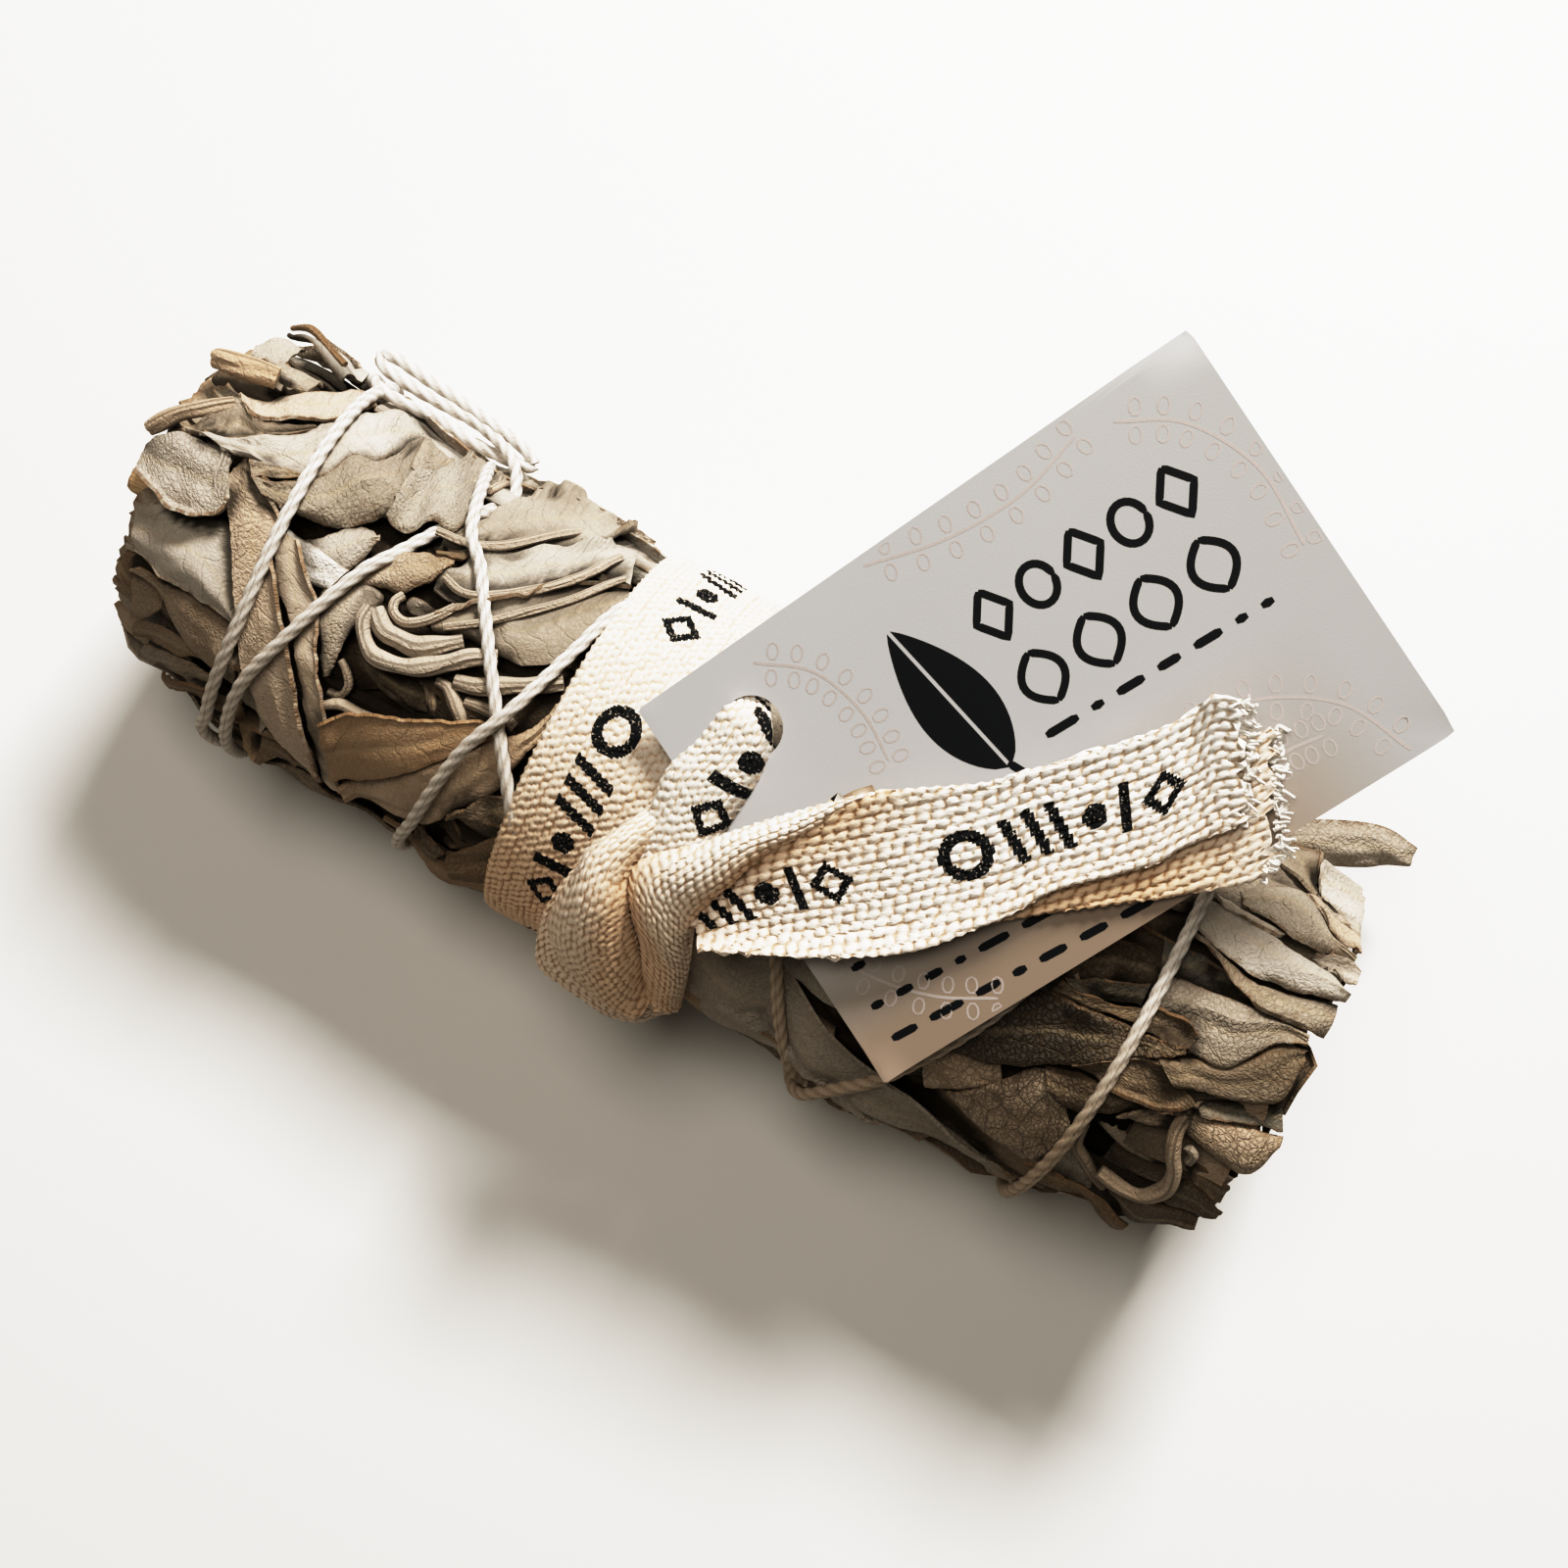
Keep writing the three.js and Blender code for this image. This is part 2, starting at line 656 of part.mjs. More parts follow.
// The knot: a flattened lump of tape with a turn wrapped slantwise over it.
function knot() {
  const along = knotAlong.clone().addScaledVector(knotOut, -knotAlong.dot(knotOut)).normalize();
  const across = new THREE.Vector3().crossVectors(knotOut, along);
  const local = (a, b, c) => KNOT_CENTRE.clone()
    .addScaledVector(along, a)
    .addScaledVector(across, b)
    .addScaledVector(knotOut, c);
  const lumpRings = [];
  const levels = [-1, -0.8, -0.45, 0, 0.45, 0.8, 1];
  levels.forEach((level) => {
    const size = Math.max(Math.sqrt(1 - level * level), 0.3);
    lumpRings.push(Array.from({ length: 10 }, (_, j) => {
      const turn = (2 * Math.PI * j) / 10;
      return local(11 * level, 8.2 * size * Math.cos(turn), 5.2 * size * Math.sin(turn) - 0.6);
    }));
  });
  const turnStations = [];
  for (let j = 0; j < 12; j += 1) {
    const turn = (2 * Math.PI * j) / 12;
    turnStations.push({
      point: local(-3.4 + 2.4 * Math.cos(turn), 8.8 * Math.cos(turn), 5.6 * Math.sin(turn) - 0.6),
      across: along,
      width: 9,
      thick: 1.8,
    });
  }
  return solid(loft(lumpRings)).add(solid(loft(strapRings(turnStations, true))));
}

// Two tails leave the knot together and lie one on the other over the tag.
function tapeTails() {
  const start = KNOT_CENTRE.clone().addScaledVector(knotOut, 1.5);
  const leave = new THREE.Vector3(9.0, -17.4, 48.6);
  const knotWidth = new THREE.Vector3(0.2, -0.75, -0.6).normalize();
  const tagWidth = tagAcross.clone().lerp(TAG_ALONG, -0.75).normalize();
  const upper = strap([
    { point: start, across: knotWidth, width: 9, thick: 2 },
    { point: leave, across: knotWidth, width: 10, thick: 1.6 },
    { point: onTag(4.6, 24.4, 4.2), across: tagWidth, width: 14, thick: 1.1 },
    { point: onTag(17.4, 31, 4.4), across: tagWidth, width: TAPE_WIDTH, thick: TAPE_THICK },
    { point: onTag(30.6, 36.4, 3.4), across: tagWidth, width: TAPE_WIDTH, thick: TAPE_THICK },
    { point: onTag(42.4, 40.2, 2.6), across: tagWidth, width: TAPE_WIDTH, thick: TAPE_THICK },
    { point: onTag(51.4, 41.4, 2.5), across: tagWidth, width: TAPE_WIDTH, thick: TAPE_THICK },
  ], 22);
  const lower = strap([
    { point: start, across: knotWidth, width: 8, thick: 2 },
    { point: leave.clone().add(new THREE.Vector3(0.3, -1, -0.8)), across: knotWidth, width: 9, thick: 1.6 },
    { point: onTag(3.4, 27.4, 2.6), across: tagWidth, width: 13, thick: 1.1 },
    { point: onTag(17.6, 33.4, 3.0), across: tagWidth, width: TAPE_WIDTH, thick: TAPE_THICK },
    { point: onTag(31.4, 38.8, 2.0), across: tagWidth, width: TAPE_WIDTH, thick: TAPE_THICK },
    { point: onTag(44, 42.6, 1.2), across: tagWidth, width: TAPE_WIDTH, thick: TAPE_THICK },
    { point: onTag(53.4, 45.2, 1.1), across: tagWidth, width: TAPE_WIDTH, thick: TAPE_THICK },
  ], 22);
  return upper.add(lower);
}

function cottonTape() {
  const whole = join([tapeBand(), tapeThroughTag(), knot(), tapeTails()]);
  return meshOf('cotton_tape', mainBody(whole), 0xe6dac4, 0.95);
}

// ---------------------------------------------------------------- card tag

function cardTag() {
  const outline = new THREE.Shape();
  outline.moveTo(0, 0);
  outline.lineTo(TAG_LENGTH, 0);
  outline.lineTo(TAG_LENGTH, TAG_WIDTH);
  outline.lineTo(0, TAG_WIDTH);
  outline.closePath();
  const hole = new THREE.Path();
  hole.absarc(HOLE_AT[0], HOLE_AT[1], HOLE_RADIUS, 0, 2 * Math.PI, true);
  outline.holes.push(hole);
  const geometry = new THREE.ExtrudeGeometry(outline, {
    depth: TAG_THICK,
    bevelEnabled: false,
    curveSegments: 12,
  });
  const card = mesh('card_tag', geometry, 0xd9d4d6, 0.6);
  const basis = new THREE.Matrix4().makeBasis(
    TAG_ALONG,
    tagAcross,
    new THREE.Vector3().crossVectors(TAG_ALONG, tagAcross),
  );
  card.quaternion.setFromRotationMatrix(basis);
  card.position.copy(TAG_CORNER);
  return card;
}

// ---------------------------------------------------------------- the whole bunch

const bunch = new THREE.Group();
bunch.add(sageLeaves());
STEMS.forEach((one) => bunch.add(stem(one)));
bunch.add(twine(), cottonTape(), cardTag());

export default bunch;
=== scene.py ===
# %% [markdown]
# A dried sage bunch, dressed for a still picture.
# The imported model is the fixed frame: it has the bunch of leaves, five cut stems, the twine, the
# woven tape and the card tag at their real places. Everything below is made around it, in the
# same frame, so a piece goes where the model says and nothing is fitted afterwards.
# %% Load the frame
import itertools
import bpy
import numpy as np
from mathutils import Matrix, Vector


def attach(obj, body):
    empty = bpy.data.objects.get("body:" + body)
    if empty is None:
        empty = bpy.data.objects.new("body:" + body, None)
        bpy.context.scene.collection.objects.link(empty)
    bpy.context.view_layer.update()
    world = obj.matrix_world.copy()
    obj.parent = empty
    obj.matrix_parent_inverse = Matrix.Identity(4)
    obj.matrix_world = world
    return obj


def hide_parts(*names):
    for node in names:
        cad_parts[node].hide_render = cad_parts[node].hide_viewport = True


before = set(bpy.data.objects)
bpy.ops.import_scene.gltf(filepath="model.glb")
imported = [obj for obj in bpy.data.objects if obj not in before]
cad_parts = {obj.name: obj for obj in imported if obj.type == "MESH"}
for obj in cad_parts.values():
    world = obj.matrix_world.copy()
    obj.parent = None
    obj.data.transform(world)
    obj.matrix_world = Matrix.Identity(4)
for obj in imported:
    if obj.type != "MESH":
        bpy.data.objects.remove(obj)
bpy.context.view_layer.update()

MM = 0.001
scene = bpy.context.scene

# %% [markdown]
# The camera looks steeply down on the bunch from the front, close enough for some perspective.
# It is built from its own three directions, so that it can't roll: right is level, forward goes
# down at the elevation, and up is square to both. Eye and sensor are in mm.
# %% Camera
CAMERA_TURN = np.radians(28.466)
CAMERA_ELEVATION = np.radians(80.0)
CAMERA_EYE = np.array([29.43, -36.08, 280.59])
CAMERA_LENS = 48.555
CAMERA_SENSOR = 36.0
NEAREST_SEEN = 10.0

right = np.array([np.cos(CAMERA_TURN), np.sin(CAMERA_TURN), 0.0])
level = np.array([-np.sin(CAMERA_TURN), np.cos(CAMERA_TURN), 0.0])
forward = np.cos(CAMERA_ELEVATION) * level - np.sin(CAMERA_ELEVATION) * np.array([0.0, 0.0, 1.0])
up = np.cross(right, forward)
camera_data = bpy.data.cameras.new("camera")
camera_data.lens = CAMERA_LENS
camera_data.sensor_width = CAMERA_SENSOR
camera_data.clip_start = NEAREST_SEEN * MM
camera = bpy.data.objects.new("camera", camera_data)
scene.collection.objects.link(camera)
columns = np.stack([right, up, -forward, CAMERA_EYE * MM], axis=-1)
camera.matrix_world = Matrix([*columns.tolist(), (0, 0, 0, 1)])
scene.camera = camera

# %% [markdown]
# Curves set the picture's tones: bright values roll off softly, and deep green and blue are held
# back, which leaves the shadows warm. Each row is a value as rendered, and the value shown.
# %% Tones of the picture
GAMMA = 0.86
BRIGHTEST = 2.5
ROLL_OFF = "0 0, 0.1 0.094, 0.25 0.262, 0.5 0.555, 0.8 0.79, 1.1 0.9, 1.6 0.965, 2.5 1"
WARM_GREEN = "0 0, 0.03 0.028, 0.08 0.075, 0.16 0.152, 0.28 0.273, 0.42 0.415, 0.6 0.598, 1 1"
WARM_BLUE = "0 0, 0.03 0.024, 0.08 0.066, 0.16 0.14, 0.28 0.26, 0.42 0.409, 0.6 0.597, 1 1"
# Curve 3 is for all colours, 1 for green and 2 for blue. Each has its table and its widest value.
CURVES = ((3, ROLL_OFF, BRIGHTEST), (1, WARM_GREEN, 1.0), (2, WARM_BLUE, 1.0))


def table(text):
    """Rows of numbers from text: commas part the rows, and spaces part the numbers."""
    return np.array([[float(number) for number in row.split()] for row in text.split(",")])


shown_as = scene.view_settings
shown_as.view_transform = "Standard"
shown_as.look = "None"
shown_as.gamma = GAMMA
shown_as.use_curve_mapping = True
grade = shown_as.curve_mapping
grade.white_level = (BRIGHTEST, BRIGHTEST, BRIGHTEST)
for curve, text, widest in CURVES:
    points = grade.curves[curve].points
    steps = table(text)
    while len(points) < len(steps):
        points.new(0.5, 0.5)
    for point, (value, shown_value) in zip(points, steps):
        point.location = (value / widest, shown_value)
grade.update()

# %% [markdown]
# Soft window light comes from high up behind the bunch, so its front falls into a warm shade. A
# weak wide light hangs overhead, a dim warm world fills the shadows, and a wide plain floor
# bounces a little back.
# %% Light and floor
AIM_HEIGHT = 24.0
FLOOR_HALF = 1500
WORLD_COLOUR = (1.0, 0.95, 0.90, 1.0)
WORLD_STRENGTH = 0.055

world = bpy.data.worlds.new("studio")
world.use_nodes = True
background = world.node_tree.nodes["Background"]
background.inputs["Color"].default_value = WORLD_COLOUR
background.inputs["Strength"].default_value = WORLD_STRENGTH
scene.world = world


def soft_light(name, place, size, power, colour):
    """A square area light at place (mm) that faces the middle of the bunch."""
    data = bpy.data.lights.new(name, "AREA")
    data.size = size * MM
    data.energy = power
    data.color = colour
    lamp = bpy.data.objects.new(name, data)
    scene.collection.objects.link(lamp)
    lamp.location = Vector(place) * MM
    aim = Vector((0.0, 0.0, AIM_HEIGHT)) * MM - lamp.location
    lamp.rotation_euler = aim.to_track_quat("-Z", "Y").to_euler()


soft_light("window", place=(10, 440, 500), size=170, power=7.6, colour=(1.0, 1.0, 1.0))
soft_light("overhead", place=(-90, 20, 620), size=270, power=1.75, colour=(1.0, 0.985, 0.965))

reach = FLOOR_HALF * MM
floor_mesh = bpy.data.meshes.new("floor")
corners = [(-reach, -reach, 0), (reach, -reach, 0), (reach, reach, 0), (-reach, reach, 0)]
floor_mesh.from_pydata(corners, [], [(0, 1, 2, 3)])
floor = bpy.data.objects.new("floor", floor_mesh)
scene.collection.objects.link(floor)

# %% [markdown]
# Every material is a small tree of nodes round one Principled shader. This helper keeps the
# trees short: it makes the shader, and wires further nodes by the name or number of an input.
# Colours are (red, green, blue), and all pieces carry a UV map in mm, named surface.
# %% Material helper


class Tree:
    """One material's nodes. Most methods make a node and give back what comes out of it."""

    def __init__(self, name, roughness, specular=0.5):
        self.material = bpy.data.materials.new(name)
        self.material.use_nodes = True
        self.nodes = self.material.node_tree.nodes
        self.links = self.material.node_tree.links
        self.shader = self.nodes["Principled BSDF"]
        self.shader.inputs["Roughness"].default_value = roughness
        self.shader.inputs["Specular IOR Level"].default_value = specular

    def feed(self, socket, value):
        """Links a node or an output to the input, or sets the input to a constant."""
        if isinstance(value, bpy.types.Node):
            value = value.outputs[0]
        if isinstance(value, bpy.types.NodeSocket):
            self.links.new(value, socket)
        else:
            socket.default_value = (*value, 1.0) if socket.type == "RGBA" else value

    def add(self, kind, inputs=None, **settings):
        """A node of a kind, with its settings made first and its inputs fed after."""
        node = self.nodes.new("ShaderNode" + kind)
        for key, value in settings.items():
            setattr(node, key, value)
        for key, value in (inputs or {}).items():
            self.feed(node.inputs[key], value)
        return node

    def math(self, operation, a, b=0.0):
        return self.add("Math", {0: a, 1: b}, operation=operation)

    def plus(self, a, b):
        return self.math("ADD", a, b)

    def minus(self, a, b):
        return self.math("SUBTRACT", a, b)

    def times(self, a, b):
        return self.math("MULTIPLY", a, b)

    def grey(self, value, low, high):
        """0 where value is low, 1 where it is high, and even between."""
        return self.add("MapRange", {0: value, 1: low, 2: high})

    def layer(self, under, over, share, strength=1.0, blend="MIX"):
        """The colour under, with the colour over laid on it by share times strength."""
        share = share if strength == 1.0 else self.times(share, strength)
        return self.add("Mix", {0: share, 6: under, 7: over}, data_type="RGBA", blend_type=blend).outputs[2]

    def attribute(self, name):
        return self.add("Attribute", attribute_name=name).outputs["Fac"]

    def surface(self):
        return self.add("UVMap", uv_map="surface")

    def stretched(self, vector, scale, turned=0.0):
        return self.add("Mapping", {"Vector": vector, "Scale": scale, "Rotation": (0.0, 0.0, turned)})

    def noise(self, vector, scale, detail=3.0):
        return self.add("TexNoise", {"Vector": vector, "Scale": scale, "Detail": detail}).outputs["Fac"]

    def cracks(self, vector, scale):
        """The distance to the nearest edge between irregular cells."""
        inputs = {"Vector": vector, "Scale": scale}
        return self.add("TexVoronoi", inputs, feature="DISTANCE_TO_EDGE").outputs["Distance"]

    def ramp(self, value, *stops):
        """A colour for each value: stops are (value, colour)."""
        node = self.add("ValToRGB", {0: value})
        while len(node.color_ramp.elements) < len(stops):
            node.color_ramp.elements.new(0.5)
        for element, (place, colour) in zip(node.color_ramp.elements, stops):
            element.position = place
            element.color = (*colour, 1.0)
        return node

    def finish(self, colour, relief=None, height=0.0, strength=1.0):
        """Gives the shader its colour and, if there is one, a relief with a height in mm."""
        self.feed(self.shader.inputs["Base Color"], colour)
        if relief is not None:
            bump = self.add("Bump", {"Strength": strength, "Distance": height * MM, "Height": relief})
            self.feed(self.shader.inputs["Normal"], bump)
        return self.material


FLOOR_COLOUR = (0.74, 0.73, 0.715)
floor_mesh.materials.append(Tree("plain floor", 0.9).finish(FLOOR_COLOUR))

# %% [markdown]
# New pieces are grids of points worked out with numpy. Many closed shells are gathered in one
# mesh, with a UV map in mm and any number of named values on the points, which the materials
# read.
# %% Grids and shells


def together(*columns):
    """Values side by side: the coordinates of points, or the corners of faces."""
    return np.stack(np.broadcast_arrays(*columns), axis=-1)


def unit(vectors):
    """The same directions, each with length 1."""
    return vectors / np.maximum(np.linalg.norm(vectors, axis=-1, keepdims=True), 1e-9)


def heading(line):
    """The way ahead at each point of a line."""
    return unit(np.gradient(line, axis=0))


def left_of(ahead):
    """The way to the left of a way ahead, on a flat surface."""
    return together(-ahead[..., 1], ahead[..., 0])


def grid_normals(points):
    """Cross product of the grid's two directions at each point."""
    return unit(np.cross(np.gradient(points, axis=0), np.gradient(points, axis=1)))


def grid_faces(rows, columns, first=0, wrap=False):
    """Quads of a grid numbered row by row. With wrap, the last column is joined to the first."""
    number = first + np.arange(rows * columns).reshape(rows, columns)
    if wrap:
        number = np.hstack([number, number[:, :1]])
    here, below = number[:-1], number[1:]
    return together(here[:, :-1], below[:, :-1], below[:, 1:], here[:, 1:]).reshape(-1, 4)


def border(number):
    """The numbers round the outside of a grid, in order."""
    return np.concatenate([number[0, :-1], number[:-1, -1], number[-1, :0:-1], number[:0:-1, 0]])


class Shells:
    """Collects closed shells: points in mm, faces, UVs and named values."""

    def __init__(self):
        self.points, self.faces, self.uvs, self.values = [], [], [], {}
        self.count = 0

    def take(self, points, faces, uv, values):
        """Adds a shell. A face is four point numbers, with the last one repeated in a triangle."""
        self.points.append(points)
        self.faces.append(faces + self.count)
        self.uvs.append(uv)
        for key, value in values.items():
            self.values.setdefault(key, []).append(value)
        self.count += len(points)


# %% [markdown]
# A thin sheet is a grid for its upper face, and the same grid moved inwards by the thickness for
# its underside. The underside keeps only every coarse-th point both ways. The rim joins the two:
# each short edge above makes a triangle with the nearest point below, and each long edge below
# makes one with the point above its middle.
# %% Thin sheets


def sheet(shells, top, thickness, uv, facing, coarse=1, **values):
    """A thin closed sheet: top is a grid of points, and facing says which way its upper face looks."""
    rows, columns = top.shape[:2]
    values = {key: np.broadcast_to(value, (rows, columns)) for key, value in values.items()}
    if np.sum(grid_normals(top) * facing) < 0:
        top, uv = top[:, ::-1], uv[:, ::-1]
        values = {key: value[:, ::-1] for key, value in values.items()}
    bottom = (top - grid_normals(top) * thickness)[::coarse, ::coarse]
    size = rows * columns
    edge = border(np.arange(size).reshape(rows, columns))
    below = border(size + np.arange(bottom[..., 0].size).reshape(bottom.shape[:2]))
    step = np.arange(len(edge))
    nearest = below[(step // coarse + (2 * (step % coarse) >= coarse)) % len(below)]
    fans = together(edge, np.roll(edge, -1), nearest, nearest)
    middle = edge[np.arange(len(below)) * coarse + (coarse + 1) // 2 - len(edge)]
    closing = together(middle, np.roll(below, -1), below, below)
    underside = grid_faces(*bottom.shape[:2], size)[:, ::-1]
    faces = np.vstack([grid_faces(rows, columns), underside, fans, closing])
    points = np.vstack([top.reshape(-1, 3), bottom.reshape(-1, 3)])
    both_uv = np.vstack([uv.reshape(-1, 2), uv[::coarse, ::coarse].reshape(-1, 2)])
    for key, value in values.items():
        values[key] = np.concatenate([value.ravel(), value[::coarse, ::coarse].ravel()])
    shells.take(points, faces, both_uv, values)


# %% [markdown]
# A rod is a grid that meets itself round the section, with a fan to a middle point at each end.
# A hoop is a grid that meets itself both ways. Rods stand on a line: their rings are set out
# square to it, from the way out of the bunch.
# %% Rods and hoops


def circle(count):
    """Angles all the way round, as one row."""
    return np.linspace(0, 2 * np.pi, count, endpoint=False)[None, :]


def rings_on(line, out, turn, reach):
    """Rings of points round a line, at a reach for each turn. Turn 0 is on the side out."""
    ahead = heading(line)
    side = unit(np.cross(ahead, out))
    out = np.cross(side, ahead)
    spokes = side[:, None] * np.sin(turn)[..., None] + out[:, None] * np.cos(turn)[..., None]
    return line[:, None] + spokes * reach[..., None]


def rod(shells, rings, uv, **values):
    """A closed rod from rings of points, which go round the same way as the turns in rings_on."""
    rows, columns = rings.shape[:2]
    size = rows * columns
    first = np.arange(columns)
    last = first + size - columns
    start = together(size, first, np.roll(first, -1), np.roll(first, -1))
    end = together(size + 1, np.roll(last, -1), last, last)
    faces = np.vstack([grid_faces(rows, columns, wrap=True)[:, ::-1], start, end])
    points = np.vstack([rings.reshape(-1, 3), rings[0].mean(0), rings[-1].mean(0)])
    all_uv = np.vstack([uv.reshape(-1, 2), uv[0].mean(0), uv[-1].mean(0)])
    for key, value in values.items():
        value = np.broadcast_to(value, (rows, columns))
        values[key] = np.concatenate([value.ravel(), [value[0, 0], value[-1, 0]]])
    shells.take(points, faces, all_uv, values)


def hoop(shells, grid, uv):
    """A closed shell from a grid that meets itself both ways, such as a card round its hole."""
    number = np.arange(grid[..., 0].size).reshape(grid.shape[:2])
    below = np.roll(number, -1, axis=0)
    quads = together(number, below, np.roll(below, -1, axis=1), np.roll(number, -1, axis=1))
    shells.take(grid.reshape(-1, 3), quads.reshape(-1, 4), uv.reshape(-1, 2), {})


# %% [markdown]
# The shells of a piece become one smooth mesh, with creases kept sharp. It rides on the bunch and
# stands for the model's nodes that are named.
# %% Meshes
SHARP_FROM = np.radians(48)


def build(shells, name, material, slot, *nodes):
    """Makes the mesh object of all the shells."""
    points = np.vstack(shells.points) * MM
    faces = np.vstack(shells.faces).astype(np.int64)
    sizes = np.where(faces[:, 2] == faces[:, 3], 3, 4)
    loops = faces[np.arange(4)[None, :] < sizes[:, None]]
    mesh = bpy.data.meshes.new(name)
    mesh.vertices.add(len(points))
    mesh.vertices.foreach_set("co", points.astype(np.float32).ravel())
    mesh.loops.add(len(loops))
    mesh.loops.foreach_set("vertex_index", loops.astype(np.int32))
    mesh.polygons.add(len(faces))
    mesh.polygons.foreach_set("loop_start", (np.cumsum(sizes) - sizes).astype(np.int32))
    mesh.polygons.foreach_set("use_smooth", np.ones(len(faces), bool))
    layer = mesh.uv_layers.new(name="surface")
    layer.data.foreach_set("uv", np.vstack(shells.uvs)[loops].astype(np.float32).ravel())
    for key, parts in shells.values.items():
        stored = mesh.attributes.new(key, "FLOAT", "POINT")
        stored.data.foreach_set("value", np.concatenate(parts).astype(np.float32))
    mesh.update(calc_edges=True)
    mesh.validate()
    mesh.set_sharp_from_angle(angle=SHARP_FROM)
    mesh.materials.append(material)
    piece = bpy.data.objects.new(name, mesh)
    scene.collection.objects.link(piece)
    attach(piece, "root")
    if nodes:
        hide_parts(*nodes)
    print(f"{name}: {len(points)} points, {int((sizes - 2).sum())} triangles")
    return piece


# %% [markdown]
# Curves and unevenness. A smooth curve through a few rows of numbers is a Catmull-Rom spline.
# Unevenness is a sum of a few seeded sine waves in random directions: it is smooth, cheap, and
# the same on every run.
# %% Curves and waves


def through(rows, t):
    """A smooth curve through the rows, evenly spaced in t from 0 to 1, read at the values t."""
    p = np.asarray(rows, float)
    p = p[:, None] if p.ndim == 1 else p
    q = np.vstack([2 * p[0] - p[1], p, 2 * p[-1] - p[-2]])
    spans = len(p) - 1
    place = np.clip(np.asarray(t, float), 0, 1) * spans
    i = np.minimum(place.astype(int), spans - 1)
    f = (place - i)[:, None]
    a, b, c, d = q[i], q[i + 1], q[i + 2], q[i + 3]
    cubic = (3 * b - a - 3 * c + d) * f**3
    return 0.5 * (2 * b + (c - a) * f + (2 * a - 5 * b + 4 * c - d) * f**2 + cubic)


def profile(values, t):
    """One number, or a smooth curve through several, along a piece: a column."""
    return through(values if np.size(values) > 1 else [values, values], t)


def distances(points):
    """The distance of each point along the line that they make."""
    return np.concatenate([[0], np.cumsum(np.linalg.norm(np.diff(points, axis=0), axis=1))])


def read_at(points, wanted):
    """The places on a line of points at the wanted distances along it."""
    along = distances(points)
    return together(*(np.interp(wanted, along, column) for column in points.T))


def spaced(points, step):
    """The same line with its points step mm apart."""
    length = distances(points)[-1]
    return read_at(points, np.linspace(0, length, max(int(length / step), 2) + 1))


def even(rows, t):
    """A smooth curve through the rows, read at t as a share of its length."""
    fine = through(rows, np.linspace(0, 1, 40 * len(rows)))
    return read_at(fine, t * distances(fine)[-1])


def waves(x, y, length, rng, count=6):
    """A sum of sine waves about length mm long, in random directions."""
    total = 0.0
    for _ in range(count):
        turn = rng.uniform(0, 2 * np.pi)
        rate = 2 * np.pi / (length * rng.uniform(0.7, 1.5))
        total = total + np.sin(rate * (x * np.cos(turn) + y * np.sin(turn)) + rng.uniform(0, 6.28))
    return total / np.sqrt(count)


def bell(distance, wide):
    """1 at no distance, falling to nothing on both sides, as the exponent of minus a square."""
    return np.exp(-((distance / wide) ** 2))


def smoothed(values, rounds):
    """A line of values, each averaged with its neighbours round after round. Both ends stay."""
    values = values.copy()
    for _ in range(rounds):
        values[1:-1] = 0.25 * values[:-2] + 0.5 * values[1:-1] + 0.25 * values[2:]
    return values


# %% [markdown]
# The outline of the bunch is the same as in the model: at each x a round section with its own
# radius and its own shift back, sagging to a flat strip underneath. A place on it is written as
# x, an angle (0 at the top, growing towards the front) and a lift over the outline.
# %% Outline of the bunch
AXIS_HEIGHT = 24.15
UNDERSIDE_RADIUS = 24.75
UNDERSIDE_SAG = 3.0
FLOOR_GAP = 0.12
OUTLINE = table(
    "-78 3 19.5, -70 1.2 23, -60 -0.4 23.8, -43 -1.8 22.2, -25 -2.7 22.1, -10 -2 22.4, 8 -1 21.4,"
    "18 -0.9 22.4, 28 -1.2 25.2, 40 -0.6 25, 55 -0.5 25.8, 66 0 25.3, 74 1 24, 80 1.5 21.5")
SHIFT_BACK, RADIUS = 1, 2


def eased(x, column):
    """Reads a column of the outline at x, easing in and out of each row."""
    row = np.clip(np.searchsorted(OUTLINE[:, 0], x) - 1, 0, len(OUTLINE) - 2)
    part = np.clip((x - OUTLINE[row, 0]) / (OUTLINE[row + 1, 0] - OUTLINE[row, 0]), 0, 1)
    part = part * part * (3 - 2 * part)
    return OUTLINE[row, column] * (1 - part) + OUTLINE[row + 1, column] * part


def on_bunch(x, angle, lift=0.0):
    """The point at x and angle, lift mm over the outline: a circle on top, an ellipse below."""
    turn = np.radians(angle)
    radius = eased(x, RADIUS)
    down = np.minimum(UNDERSIDE_RADIUS, radius + UNDERSIDE_SAG)
    tall = np.where(np.cos(turn) < 0, down, radius) + lift
    y = eased(x, SHIFT_BACK) - (radius + lift) * np.sin(turn)
    z = AXIS_HEIGHT + tall * np.cos(turn)
    return together(x, y, np.maximum(z, FLOOR_GAP + 0.02 * lift))


# %% [markdown]
# Leaves lie on leaves. To lay each one over those below, the bunch's surface is unrolled into a
# map with x one way and the distance round it the other. One map holds the height reached so
# far, and one the number of the piece that is highest. A third holds a ceiling: low where twine
# and tape press on the leaves, high between them, which gives the bunch its soft swellings.
# %% Maps of the unrolled surface
PER_DEGREE = np.radians(AXIS_HEIGHT)
MAP_TURN = 360 * PER_DEGREE
MAP_FROM, MAP_STEP = -92.0, 0.5
MAP_ROWS, MAP_COLUMNS = 376, 304
DEEPEST, HIGHEST = -7.0, 2.3
heights = np.full((MAP_ROWS, MAP_COLUMNS), DEEPEST)
ceiling = np.full((MAP_ROWS, MAP_COLUMNS), HIGHEST)
owner = np.zeros((MAP_ROWS, MAP_COLUMNS), int)


